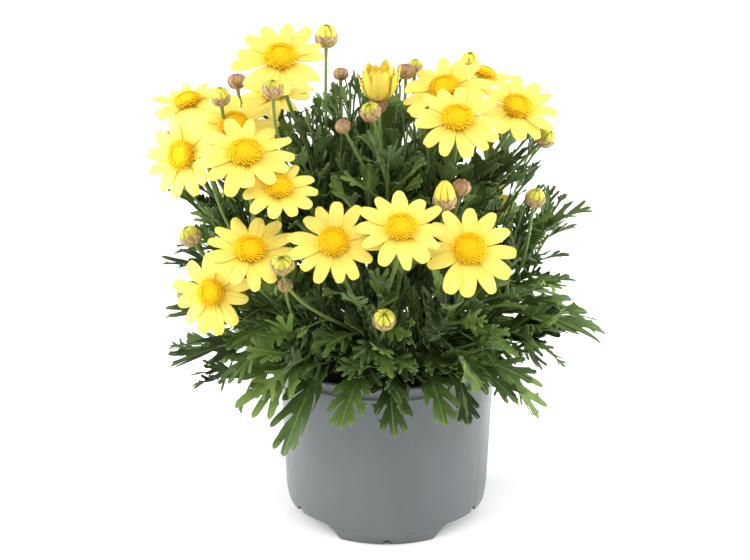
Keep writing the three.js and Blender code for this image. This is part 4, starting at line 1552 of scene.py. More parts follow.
# Leaves
@dataclass(frozen=True)
class LeafShape:
    """The outline of a lobed leaf, laid flat."""

    REACH: ClassVar[Pair] = (0.8, 1.15)
    SLIDE: ClassVar[float] = 0.02
    TOOTH: ClassVar[Pair] = (0.7, 2.1)
    TOOTH_PLACE: ClassVar[Pair] = (0.5, 0.7)
    END_TOOTH: ClassVar[Pair] = (0.7, 1.25)
    TOOTHED: ClassVar[float] = 0.3
    FINE_TOOTHED: ClassVar[float] = 0.6
    SLIMMEST: ClassVar[float] = 0.24
    # Round a lobe, from its lower root to its upper one: how far along it, and out in halves of its width
    EDGE: ClassVar[tuple[Pair, ...]] = (
        (0.28, 1.3), (0.92, 0.85), (1.0, 0.0), (0.92, -0.8), (0.6, -1.0), (0.3, -1.1),
    )
    COARSE: ClassVar[tuple[Pair, ...]] = (
        (0.3, 1.2), (0.93, 0.85), (1.0, 0.0), (0.92, -0.85), (0.35, -1.1),
    )

    form: LeafForm
    length: float
    teeth: float = 1.0
    fine: bool = False

    def half(self, draws: Draws, teeth: Draws) -> tuple[list[Pair], list[bool], list[tuple[Pair, Pair]]]:
        """One half of the outline, from the root to just behind the tip.

        Args:
            draws: The run that gives the reach and slide of each lobe that the solids have too.
            teeth: The run that gives the other lobes and the teeth.

        Returns:
            The points, which of them are sharp, and each lobe's rib as two points.
        """
        form = self.form
        points, sharp, ribs = list(form.stalk), [False] * len(form.stalk), []
        start = np.array(form.stalk[-1])
        toothed = self.FINE_TOOTHED if self.fine else self.TOOTHED
        edge = self.EDGE if self.fine else self.COARSE
        for i, lobe in enumerate(form.lobes):
            run = draws if i < form.solid else teeth
            reach = run.between(*self.REACH)
            slide = run.between(-self.SLIDE, self.SLIDE)
            tip = np.array([lobe.tip[0] + slide, lobe.tip[1] * reach])
            hollow = np.array(lobe.hollow)
            base = (start + hollow) / 2
            axis = tip - base
            back = unit(np.array([-axis[1], axis[0]]))
            half = min(form.strap, self.SLIMMEST * float(np.linalg.norm(axis)))
            tooth = self.teeth * teeth.between(*self.TOOTH) * (teeth.share() < toothed)
            where = teeth.between(*self.TOOTH_PLACE)
            point = (where + 0.04, 1.0 + 0.75 * tooth, tooth > 0)
            notch = [(where - 0.1, 1.0, False), point, (where + 0.1, 1.0, False)]
            rim = [(share, out, share == 1.0) for share, out in edge]
            for share, out, pointed in [rim[0], *notch[0 if self.fine else 1:], *rim[1:]]:
                points.append(tuple(base + share * axis + out * half * back))
                sharp.append(pointed)
            points.append(tuple(hollow))
            sharp.append(True)
            ribs.append((tuple(base * (1, 0)), tuple(tip)))
            start = hollow
        left = 1 - start[0]
        spread = self.teeth * teeth.between(*self.END_TOOTH)
        for share, width, tooth in form.end:
            points.append((start[0] + share * left, max(0.012, start[1] * width) + tooth * spread))
            sharp.append(tooth > 0)
        return points, sharp, ribs

    def rounded(self, points: list[Pair], sharp: list[bool]) -> Array:
        """The same outline with twice the points, rounded away from its sharp ones.

        Args:
            points: The outline.
            sharp: Which of its points stay sharp.

        Returns:
            The rounded outline.
        """
        p = np.array(points)
        if not self.fine:
            return p
        made = []
        for i in range(len(p)):
            soft = p[i] if sharp[i] or i in (0, len(p) - 1) else (p[i - 1] + 6 * p[i] + p[i + 1]) / 8
            made.append(soft)
            if i + 1 < len(p):
                made.append((p[i] + p[i + 1]) / 2)
        return np.array(made)

    def rib_distance(self, flat: Array, ribs: list[tuple[Array, Array]]) -> Array:
        """The distance in millimetres from the middle rib, or from a lobe's own rib towards its tip.

        Args:
            flat: Points of the leaf laid flat.
            ribs: Both ends of each lobe's rib.

        Returns:
            The distances.
        """
        away = np.abs(flat[:, 1])
        for a, b in ribs:
            share = (flat - a) @ (b - a) / float((b - a) @ (b - a))
            beside = np.linalg.norm(flat - a - np.clip(share, 0, 1)[:, None] * (b - a), axis=1)
            away = np.where(share > 0.2, np.minimum(away, beside + 0.05 * np.clip(0.7 - share, 0, 1)), away)
        return away * self.length

    def sheet(self, draws: Draws, teeth: Draws) -> tuple[Array, Array, Array]:
        """The whole leaf laid flat.

        Args:
            draws: The run that gives the reach and slide of each lobe that the solids have too.
            teeth: The run that gives the other lobes and the teeth.

        Returns:
            Points as along and across, in shares of the length, their faces, and each point's
            distance from a rib in millimetres.
        """
        outlines, ribs = [], []
        for side in (-1, 1):
            points, sharp, half_ribs = self.half(draws, teeth)
            outlines.append(self.rounded(points, sharp) * (1, side))
            ribs.extend((np.array(a), np.array(b) * (1, side)) for a, b in half_ribs)
        outline = np.vstack([outlines[1], [[1.0, 0.0]], outlines[0][::-1]])
        steps, along_lobe = (15, (0.3, 0.5, 0.75, 0.93)) if self.fine else (11, (0.4, 0.8))
        middle = np.column_stack([np.linspace(0.03, 0.985, steps), np.zeros(steps)])
        places = np.vstack([outline, middle, *(a + np.outer(along_lobe, b - a) for a, b in ribs)])
        n, m, k = len(outline), steps, len(along_lobe)
        runs = [(n, m), *((n + m + j * k, k) for j in range(len(ribs)))]
        edges = [(first + i, first + i + 1) for first, count in runs for i in range(count - 1)]
        loop = [(i, (i + 1) % n) for i in range(n)]
        flat, _, faces, *_ = delaunay_2d_cdt([Vector(p) for p in places], loop + edges, [], 1, 1e-5)
        flat = np.array([tuple(v) for v in flat])
        faces = np.array([tuple(f) for f in faces if len(f) == 3])
        return flat, faces, self.rib_distance(flat, ribs)


@dataclass
class Leaf:
    """A lobed leaf along a curve. It folds up a little along its rib, twists, and waves to its edges."""

    THICKNESS: ClassVar[float] = 0.5
    WAVES: ClassVar[float] = 1.4
    RIB_HALF: ClassVar[float] = 0.012
    SHORTEST_EDGE: ClassVar[float] = 0.3

    curve: Bezier
    toward: Array
    space: Space
    kind: LeafKind
    draws: Draws
    teeth: Draws
    wave: float = 0.03
    teeth_size: float = 1.0
    fold: float = 0.3
    twist: float = 0.0
    fine: bool = False

    def patch(self, tone: float) -> tuple[Patch, float]:
        """The leaf's blade.

        Args:
            tone: How light the leaf is, from 0 to 1.

        Returns:
            The blade, and how far its most stretched edge is stretched by its neighbours.
        """
        length = self.curve.length()
        shape = LeafShape(self.kind.value, length, self.teeth_size, self.fine)
        flat, faces, away = shape.sheet(self.draws, self.teeth)
        along, across = np.minimum(flat[:, 0], 1.0), flat[:, 1]
        tangent = self.curve.tangent(along)
        level = unit(np.cross(self.toward, tangent))
        upright = unit(np.cross(tangent, level))
        turn = (self.twist * along)[:, None]
        width = level * np.cos(turn) + upright * np.sin(turn)
        face = upright * np.cos(turn) - level * np.sin(turn)
        out = np.abs(across)
        phase = self.teeth.between(0, 2 * math.pi) + np.where(across > 0, self.teeth.between(0.6, 2.4), 0.0)
        ripple = self.wave * np.sin(2 * math.pi * self.WAVES * along + phase) * out / 0.2
        rise = self.fold * (np.sqrt(out**2 + self.RIB_HALF**2) - self.RIB_HALF) * (1 - 0.9 * out) + ripple
        free = self.curve.at(along) + (across * width.T * length).T + (rise * face.T * length).T
        bent = self.space.bend(free)
        a, b = np.vstack([faces[:, :2], faces[:, 1:]]).T
        before = np.linalg.norm(free[a] - free[b], axis=1)
        after = np.linalg.norm(bent[a] - bent[b], axis=1)
        stretch = float(np.max((after - before)[before > self.SHORTEST_EDGE]))
        values = {"tone": np.full(len(flat), tone), "along": along, "mark": away}
        return blade(bent, faces, self.THICKNESS, values), stretch


# Stalks, cups and buds
class Layer(IntEnum):
    """Which of a leafy stem's materials a patch takes."""

    LEAF = 0
    STALK = 1
    BRACT = 2
    PETAL = 3


def standing_out(row: int, step: float) -> Pair:
    """How far the bracts of a row stand out at root and tip, which is less for a row further in."""
    lift = 0.5 - step * row
    return lift - 0.15, lift + 0.12


@dataclass(frozen=True)
class Husk:
    """The rounded body that bracts lie on, about +Z."""

    radius: float
    depth: float
    height: float
    low_power: float = 0.8
    high_power: float = 0.85

    def at(self, rise: Array, turn: Array, lift: Array) -> Array:
        """Points on the husk.

        Args:
            rise: Degrees up from its widest ring, from -90 to 90.
            turn: Radians round.
            lift: How far out from its surface.

        Returns:
            The points.
        """
        e = np.radians(rise)
        power = np.where(e < 0, self.low_power, self.high_power)
        r = (self.radius + lift) * np.cos(e) ** power
        z = np.where(e < 0, (self.depth + lift) * np.sin(e), (self.height + lift) * np.sin(e))
        return np.stack([r * np.cos(turn), r * np.sin(turn), z], axis=-1)

    def body(self, sides: int, top: float = 90.0, rows: int = 12) -> Patch:
        """The husk's own closed surface.

        Args:
            sides: How many points there are in a ring.
            top: How many degrees up it goes.
            rows: How many rings it has.

        Returns:
            The surface.
        """
        rise = np.linspace(-90, top, rows)
        profile = self.at(rise, np.zeros(rows), np.zeros(rows))[:, [0, 2]]
        profile[0, 0] = 0
        if top < 90:
            profile = np.vstack([profile, [0, profile[-1, 1]]])
        profile[-1, 0] = 0
        return turned(profile, sides)

    def scale(
        self, low: float, high: float, turn: float, width: float, lift: Pair, mesh: tuple[int, int]
    ) -> Patch:
        """One bract or folded petal that lies on the husk.

        Args:
            low: The degrees at its root.
            high: The degrees at its tip.
            turn: Where it is, in radians round.
            width: Half its width in millimetres, where it is widest.
            lift: How far its root and its tip stand out.
            mesh: How many points it has along it and across it.

        Returns:
            A closed blade, with `mark` running from 0 at its middle to 1 at its margins.
        """
        s, u = np.meshgrid(np.linspace(0, 1, mesh[0]), np.linspace(-1, 1, mesh[1]), indexing="ij")
        s, u = s.ravel(), u.ravel()
        half = width * (0.7 + 0.3 * np.sin(math.pi * np.clip(s / 0.7, 0, 1)))
        half = half * np.sqrt(np.clip(1.02 - s**2.4, 0, 1))
        rise = np.clip(low + (high - low) * (s - 0.08 * s * u**2), -88, 88)
        out = lift[0] + (lift[1] - lift[0]) * s - 0.2 * u**2
        around = np.maximum(self.radius * np.cos(np.radians(rise)) ** self.high_power, 0.16 * self.radius)
        sheet = self.at(rise, turn + u * half / around, out)
        values = {"along": s, "mark": np.abs(u)}
        return blade(sheet, grid(*mesh)[:, ::-1], SCALE_THICKNESS, values)


@dataclass(frozen=True)
class ScaleRow:
    """A ring of bracts or folded petals: its lowest and highest degrees, their number and breadth."""

    low: float
    high: float
    count: int
    breadth: float

    def patches(
        self, husk: Husk, lift: Pair, tone: float, draws: Draws, mesh: tuple[int, int]
    ) -> list[Patch]:
        """A closed blade for each of the ring's scales.

        Args:
            husk: What they lie on.
            lift: How far their roots and tips stand out.
            tone: Their shade, from 0 to 1.
            draws: The run that varies them.
            mesh: How many points each has along it and across it.

        Returns:
            The blades.
        """
        made = []
        first = draws.between(0, 6)
        for i in range(self.count):
            turn = first + 2 * math.pi * (i + draws.between(-0.12, 0.12)) / self.count
            width = self.breadth * math.pi * husk.radius / self.count
            patch = husk.scale(self.low, self.high + draws.between(-5, 4), turn, width, lift, mesh)
            shade = min(1.0, max(0.0, tone + draws.between(-0.16, 0.16)))
            patch.values["tone"] = np.full(len(patch.points), shade)
            made.append(patch)
        return made


@dataclass
class BudHead:
    """A bud: a flattened husk of striped bracts, closed over, or open on its folded petals."""

    CLOSED: ClassVar[tuple[ScaleRow, ...]] = (
        ScaleRow(-80, -14, 7, 1.05), ScaleRow(-60, 14, 7, 1.15), ScaleRow(-34, 42, 8, 1.25),
        ScaleRow(-6, 66, 7, 1.25), ScaleRow(20, 84, 5, 1.1),
    )
    PARTED: ClassVar[tuple[ScaleRow, ...]] = (
        ScaleRow(-80, -24, 7, 1.05), ScaleRow(-60, -2, 7, 1.15), ScaleRow(-34, 18, 8, 1.2),
        ScaleRow(-10, 33, 9, 1.1),
    )
    HALF_SHUT: ClassVar[tuple[ScaleRow, ...]] = (
        ScaleRow(-80, -18, 7, 1.05), ScaleRow(-60, 8, 7, 1.15), ScaleRow(-34, 32, 8, 1.2),
        ScaleRow(-8, 52, 8, 1.15),
    )
    FOLDED: ClassVar[tuple[ScaleRow, ...]] = (ScaleRow(-10, 78, 9, 1.2), ScaleRow(10, 85, 7, 1.0))
    LIFT_STEP: ClassVar[float] = 0.09
    BRACT_MESH: ClassVar[tuple[int, int]] = (5, 5)
    PETAL_MESH: ClassVar[tuple[int, int]] = (8, 5)

    bud: Bud
    draws: Draws

    def petals(self) -> list[Patch]:
        """The folded petals, one over the next, closing over the bud's middle.

        Returns:
            A domed core and the petals on it.
        """
        r, tip = self.bud.radius, self.bud.ripeness.tip
        narrow = 1.3 if self.bud.ripeness is Ripeness.POINTED else 0.85
        dome = Husk(0.84 * r, 0.5 * r, tip * r, 0.8, narrow)
        tone = self.bud.ripeness.petals
        core = dome.body(18)
        # mark at 1 gives the core the folded finish's painted crease shade all over: a dark body where the
        # petals part
        core.values.update(tone=np.full(len(core.points), tone), mark=np.ones(len(core.points)))
        made = [core]
        for j, row in enumerate(self.FOLDED):
            lift = (0.3 - 0.15 * j, 0.3 + 0.35 * tone)
            made += row.patches(dome, lift, tone, self.draws, self.PETAL_MESH)
        return made

    def rows(self) -> tuple[ScaleRow, ...]:
        """The rings of bracts, which reach less far up the riper the bud is.

        Returns:
            The rings.
        """
        if self.bud.ripeness.petals is None:
            return self.CLOSED
        return self.HALF_SHUT if self.bud.ripeness is Ripeness.CREAM else self.PARTED

    def add_to(self, mesh: MeshBuilder) -> None:
        """Adds the bud to its stem's mesh.

        Args:
            mesh: The stem's mesh.
        """
        r, ripeness = self.bud.radius, self.bud.ripeness
        turn, at = head_turn(self.bud.faces, self.draws.between(0, 6)), self.bud.at
        parted = ripeness.petals is not None
        husk = Husk(0.93 * r, 0.82 * r, (0.7 if parted else ripeness.tip) * r)
        body = husk.body(24, 24.0 if parted else 90.0)
        body.values["tone"] = np.full(len(body.points), ripeness.bracts)
        mesh.add(body.moved(turn, at), Layer.BRACT)
        for j, row in enumerate(self.rows()):
            lift = standing_out(j, self.LIFT_STEP)
            for patch in row.patches(husk, lift, ripeness.bracts, self.draws, self.BRACT_MESH):
                mesh.add(patch.moved(turn, at), Layer.BRACT)
        if parted:
            for patch in self.petals():
                mesh.add(patch.moved(turn, at), Layer.PETAL)


@dataclass
class Cup:
    """The green cup under a bloom, with its rings of bracts."""

    ROWS: ClassVar[tuple[ScaleRow, ...]] = (
        ScaleRow(-82, -30, 9, 1.05), ScaleRow(-62, -12, 11, 1.05), ScaleRow(-42, -3, 13, 1.05),
    )
    SHARE: ClassVar[float] = 0.96
    TONE: ClassVar[float] = 0.8
    YOUNG_SHARE: ClassVar[float] = 0.62
    YOUNG_TONE: ClassVar[float] = 0.1
    LIFT_STEP: ClassVar[float] = 0.1
    BRACT_MESH: ClassVar[tuple[int, int]] = (4, 3)

    bloom: Bloom
    draws: Draws

    def patches(self) -> list[Patch]:
        """The cup's body and its bracts, about +Z.

        Returns:
            The body and the bracts.
        """
        share = self.YOUNG_SHARE if self.bloom.opening else self.SHARE
        husk = Husk(CUP_SHARE * self.bloom.radius * share, CUP_DEPTH, 0.01, 0.62)
        body = husk.body(24, 0.0, 9)
        body.values["tone"] = np.full(len(body.points), 0.9)
        made = [body]
        tone = self.YOUNG_TONE if self.bloom.opening else self.TONE
        for j, row in enumerate(self.ROWS):
            made += row.patches(husk, standing_out(j, self.LIFT_STEP), tone, self.draws, self.BRACT_MESH)
        return made


def stem_curve(stem: Stem) -> Spline:
    """The curve of a stem, from its foot in the soil along its cone's axis.

    Args:
        stem: The stem.

    Returns:
        The curve.
    """
    outward = heading(stem.around, 0)
    return Spline(np.array([
        outward * stem.foot + UP * STEM_FOOT_Z,
        outward * (stem.foot + 1) + UP * (SOIL_TOP + 3),
        CROWN + heading(stem.around, stem.up - 3) * 0.55 * stem.length,
        CROWN + heading(stem.around, stem.up) * stem.length,
    ]))


def owner_of(at: Triple) -> str:
    """The stem whose cone holds a point."""
    return max(AXES, key=lambda name: float(AXES[name] @ (np.array(at) - CROWN)))


@dataclass(frozen=True)
class LeafVariety:
    """How the leaves that only the scene has differ: the least and the most of each trait."""

    length: Pair = (0.6, 1.0)
    side_length: Pair = (0.85, 1.15)
    drop: Pair = (-0.05, 0.25)
    side_drop: Pair = (0.0, 0.16)
    inward: Pair = (0.02, 0.18)
    twist: Pair = (-0.7, 0.7)
    fold: Pair = (0.1, 0.55)
    teeth: Pair = (0.7, 1.3)
    wave: Pair = (0.03, 0.08)


@dataclass
class LeafyStem:
    """A leafy stem: its stem, leaves and side shoots, the stalks of its heads, their cups, and its buds."""

    SPREAD: ClassVar[float] = 27.0
    TWIST: ClassVar[float] = 0.3
    SIZE: ClassVar[Pair] = (0.88, 1.1)
    BEYOND: ClassVar[Pair] = (0.72, 0.22)
    ROOTS: ClassVar[Pair] = (0.98, 0.5)
    ARCH: ClassVar[float] = 0.16
    DROOP: ClassVar[float] = 0.14
    KINDS: ClassVar[tuple[LeafKind, ...]] = (
        LeafKind.FINE, LeafKind.OPEN, LeafKind.SHORT, LeafKind.OPEN, LeafKind.BROAD, LeafKind.SPEAR,
    )
    CROWN_KINDS: ClassVar[tuple[LeafKind, ...]] = (
        LeafKind.SPEAR, LeafKind.OPEN, LeafKind.BROAD, LeafKind.SPEAR, LeafKind.SPEAR, LeafKind.BROAD,
    )

    name: str
    index: int
    more_leaves: int = 16
    tries: int = 4
    stalk_leaves: tuple[float, ...] = (0.08, 0.2, 0.33, 0.5)
    stem_radius: float = 1.9
    stalk_radius: float = 1.15
    stalk_leaf: float = 50.0
    bud_stalk_radius: float = 0.9
    shoot_radius: float = 1.1
    shoot_leaves: int = 7
    cup_back: float = 6.0
    stretch_limit: float = 6.0
    variety: LeafVariety = LeafVariety()
    mesh: MeshBuilder = field(default_factory=MeshBuilder)

    def __post_init__(self) -> None:
        """Sets what the methods share."""
        self.stem = STEMS[self.name]
        self.curve = stem_curve(self.stem)
        self.axis = AXES[self.name]
        self.across = unit(np.cross(self.axis, UP))
        self.above = unit(np.cross(self.across, self.axis))
        self.space = Space(self.name)
        self.teeth = Draws(7000 + 13 * self.index)
        self.draws = Draws(5000 + 31 * self.index)
        self.kinds = self.CROWN_KINDS if self.name.startswith("crown") else self.KINDS
        self.leaves = 0

    def rule_leaf(self, outer: float, turn: float, length: float, drop: float, more: float = 0.0) -> Bezier:
        """The rib of a leaf that the stem's rule places.

        Args:
            outer: From 0 at the stem's tip to 1 low on its outside.
            turn: Where it stands round the stem, in radians.
            length: The leaf's length.
            drop: How far its tip hangs, as a share of its length.
            more: How much nearer the stem it is kept, as a share of its reach.

        Returns:
            The curve of its rib.
        """
        side = self.across * math.cos(turn) + self.above * math.sin(turn)
        spread = math.radians(self.SPREAD * math.sqrt(outer))
        way = self.axis * math.cos(spread) + side * math.sin(spread)
        beyond = self.BEYOND[0] + (self.BEYOND[1] - self.BEYOND[0]) * outer
        reach = (self.stem.length + length * beyond) * (1 - more)
        tip = CROWN + way * reach - UP * length * drop
        start = self.curve.point(self.ROOTS[0] + (self.ROOTS[1] - self.ROOTS[0]) * outer)
        middle = (start + tip) / 2 + side * self.ARCH * length * outer
        return Bezier(np.array([start, middle, tip]))

    def facing(self, turn: float) -> Array:
        """The way the upper face of a leaf at a turn looks."""
        side = self.across * math.cos(turn) + self.above * math.sin(turn)
        return unit(0.8 * UP - 0.6 * side)

    def grow_rule_leaves(self) -> None:
        """The leaves of the stem's rule and the long ones, each with the solids' own draws."""
        draws = Draws(1000 + 17 * self.index)
        for i in range(self.stem.leaves):
            outer = (i + 0.5) / self.stem.leaves
            turn = GOLDEN_ANGLE * i + draws.between(-self.TWIST, self.TWIST)
            length = self.stem.leaf * draws.between(*self.SIZE)
            rib = self.rule_leaf(outer, turn, length, draws.between(0, self.DROOP))
            leaf = Leaf(rib, self.facing(turn), self.space, LeafKind.SHORT, draws, self.teeth, fine=True)
            self.add_leaf(leaf)
        for long_leaf in (leaf for leaf in LONG_LEAVES if leaf.stem == self.name):
            start, end = self.curve.point(long_leaf.root), np.array(long_leaf.tip, float)
            rib = Bezier(np.array([start, start + 0.55 * (end - start) + UP * long_leaf.arch, end]))
            kind = long_leaf.kind
            self.add_leaf(Leaf(rib, UP, self.space, kind, draws, self.teeth, fine=True))
            # A lobe that only the solid has took four draws of this run, so they are taken here too
            for _ in range(4 * (LeafKind.LONG.value.solid - kind.value.solid)):
                draws.share()

    def grow_more_leaves(self) -> None:
        """Smaller and inner leaves between those of the rule, which thicken the foliage."""
        for i in range(self.more_leaves):
            for _ in range(self.tries):
                outer = ((i * 0.618) % 1) ** 0.8
                turn = GOLDEN_ANGLE * (i + 0.5) + self.draws.between(-0.6, 0.6)
                length = self.stem.leaf * self.draws.between(*self.variety.length)
                drop = self.draws.between(*self.variety.drop)
                rib = self.rule_leaf(outer, turn, length, drop, self.draws.between(*self.variety.inward))
                if self.add_leaf(self.varied(rib, self.facing(turn)), self.stretch_limit):
                    break

    def varied(self, rib: Bezier, toward: Array) -> Leaf:
        """A leaf of a drawn kind along a rib, with its own fold, twist and waves.

        Args:
            rib: The curve of its rib.
            toward: The way its upper face looks.

        Returns:
            The leaf.
        """
        draws, v = self.draws, self.variety
        kind = self.kinds[int(draws.share() * len(self.kinds))]
        traits = (v.twist, v.fold, v.teeth, v.wave)
        twist, fold, teeth_size, wave = (draws.between(*trait) for trait in traits)
        return Leaf(rib, toward, self.space, kind, draws, self.teeth, wave, teeth_size, fold, twist)

    def side_leaf(
        self, root: Array, way: Array, turn: float, spread: float, length: float
    ) -> bool:
        """A leaf that leaves a shoot or a stalk.

        Args:
            root: Where it leaves it.
            way: The direction of the shoot there.
            turn: Where it stands round the shoot, in radians.
            spread: How far it leans away, in radians.
            length: Its length.

        Returns:
            Whether there was room for it.
        """
        across = unit(np.cross(way, SLANT))
        side = across * math.cos(turn) + np.cross(way, across) * math.sin(turn)
        lean = way * math.cos(spread) + side * math.sin(spread)
        tip = root + lean * length * 0.95 - UP * length * self.draws.between(*self.variety.side_drop)
        middle = (root + tip) / 2 + way * 0.14 * length
        toward = unit(0.7 * way + 0.5 * UP - 0.35 * side)
        return self.add_leaf(self.varied(Bezier(np.array([root, middle, tip])), toward), self.stretch_limit)

    def grow_shoots(self) -> None:
        """The side shoots, each with leaves round it that close up towards its tip."""
        for shoot in (s for s in SHOOTS if owner_of(s.tip) == self.name):
            tip = np.array(shoot.tip, float)
            shares = np.linspace(0.3, 0.95, 14)
            far = np.linalg.norm(self.curve.at(shares) - tip, axis=1)
            start = self.curve.point(max(0.3, float(shares[far.argmin()]) - 0.2))
            reach = 0.35 * float(np.linalg.norm(tip - start))
            way = unit(tip - start) * 0.6 + UP * 0.5
            path = Bezier(np.array([start, start + self.axis * reach, tip - unit(way) * reach, tip]))
            t = np.linspace(0, 1, 16)
            self.mesh.add(tube(path.at(t), self.shoot_radius * (1.05 - 0.5 * t), 6, 0.08), Layer.STALK)
            for i in range(self.shoot_leaves):
                up = (i + 0.5) / self.shoot_leaves
                t = np.array([0.3 + 0.69 * up])
                length = shoot.leaf * (1.08 - 0.45 * up) * self.draws.between(*self.variety.side_length)
                spread = math.radians(66 - 48 * up)
                turn = GOLDEN_ANGLE * i + self.draws.between(-0.3, 0.3)
                self.side_leaf(path.at(t)[0], path.tangent(t)[0], turn, spread, length)

    def grow_stalk_leaves(self, path: Bezier) -> None:
        """Small leaves along the lower half of a flower stalk.

        Args:
            path: The stalk.
        """
        for i, share in enumerate(self.stalk_leaves):
            t = np.array([share + self.draws.between(-0.03, 0.03)])
            length = self.stalk_leaf * (1.0 - 0.7 * share) * self.draws.between(*self.variety.side_length)
            turn = GOLDEN_ANGLE * i + self.draws.between(0, 1)
            self.side_leaf(path.at(t)[0], path.tangent(t)[0], turn, math.radians(48 - 24 * share), length)

    def add_leaf(self, leaf: Leaf, limit: float | None = None) -> bool:
        """Adds a leaf, unless its neighbours would stretch it too far.

        Args:
            leaf: The leaf.
            limit: How far its edges may be stretched in millimetres, or None for no limit.

        Returns:
            Whether it was added.
        """
        patch, stretch = leaf.patch(self.teeth.share())
        if limit is not None and stretch > limit:
            return False
        self.mesh.add(patch, Layer.LEAF)
        self.leaves += 1
        return True

    def grow_stem(self) -> None:
        """The stem itself, tapering, with slight swellings along it."""
        t = np.linspace(0, 1, 34)
        radii = self.stem_radius * (1 - 0.22 * t) * (1 + 0.05 * np.sin(28 * t))
        patch = tube(self.curve.at(t), radii, 12, 0.06)
        patch.values["tone"] = np.ones(len(patch.points))
        self.mesh.add(patch, Layer.STALK)

    def grow_heads(self) -> None:
        """The stalks of the stem's blooms and buds, with the cups and buds on them."""
        blooms = [b for b in [*BLOOMS.values(), OPENING] if owner_of(b.at) == self.name]
        buds = [b for b in [*BUDS.values(), *SMALL_BUDS] if owner_of(b.at) == self.name]
        draws = Draws(9000 + 7 * self.index)
        for i, head in enumerate([*blooms, *buds]):
            is_bloom = isinstance(head, Bloom)
            back = self.cup_back if is_bloom else head.radius / 2
            radius = self.stalk_radius if is_bloom else self.bud_stalk_radius
            stalk = self.stalk(head, back, max(0.4, 0.98 - STALK_SPACING * i))
            t = np.linspace(0, 1, 28)
            radii = radius * (1.08 - 0.12 * t) + 0.5 * radius * smoothstep(t, 0.94, 1.0)
            self.mesh.add(tube(stalk.at(t), radii, 8, 0.1), Layer.STALK)
            self.grow_stalk_leaves(stalk)
            if is_bloom:
                for patch in Cup(head, draws).patches():
                    self.mesh.add(patch.moved(head_turn(head.faces), head.at), Layer.BRACT)
            else:
                BudHead(head, draws).add_to(self.mesh)

    def stalk(self, head: Bloom | Bud, back: float, share: float) -> Bezier:
        """A flower stalk: it leaves the stem along it and meets the head from straight behind.

        Args:
            head: The bloom or bud.
            back: How far behind the head's own point it ends.
            share: Where on the stem it starts, from 0 to 1.

        Returns:
            The stalk.
        """
        facing = heading(*head.faces)
        start = self.curve.point(share)
        end = np.array(head.at) - facing * back
        reach = STALK_REACH * float(np.linalg.norm(end - start))
        return Bezier(np.array([start, start + self.axis * reach, end - facing * reach, end]))

    def build(self, finishes: Finishes) -> None:
        """Makes the leafy stem.

        Args:
            finishes: The materials.
        """
        self.grow_stem()
        self.grow_rule_leaves()
        self.grow_more_leaves()
        self.grow_shoots()
        self.grow_heads()
        materials = [finishes.leaf, finishes.stalk, finishes.bract, finishes.folded]
        piece = self.mesh.build(f"foliage_{self.name}", materials)
        settle(piece, "leaf", f"leafy_stem_{self.name}")
        logging.info("%s has %d leaves", piece.name, self.leaves)


# Blooms
@dataclass(frozen=True)
class PetalRing:
    """A ring of petals: where they leave the cup, how far they reach and how broad they are.

    swell is how far petals that stand up still spread, as a share of the head's radius. fewer is how many
    petals the ring lacks beside the outer one. point above 1 makes their tips longer and pointed.
    """

    root: float
    reach: Pair
    swell: float | None = None
    breadth: float = 1.0
    fewer: int = 0
    point: float = 1.0


@dataclass(frozen=True)
class PetalVariety:
    """How petals differ: the least and the most of each trait, in millimetres or as a share."""

    breadth: Pair = (0.88, 1.08)
    widest: Pair = (0.5, 0.75)
    narrowing: Pair = (0.1, 0.32)
    tip: Pair = (0.7, 1.15)
    notch: Pair = (0.0, 0.7)
    notch_place: Pair = (-0.15, 0.15)
    sideways: Pair = (-1.3, 1.3)
    curl: Pair = (-1.7, 0.7)
    young_curl: Pair = (0.5, 1.5)
    roll: Pair = (-0.32, 0.32)
    ripple: Pair = (-0.4, 0.4)


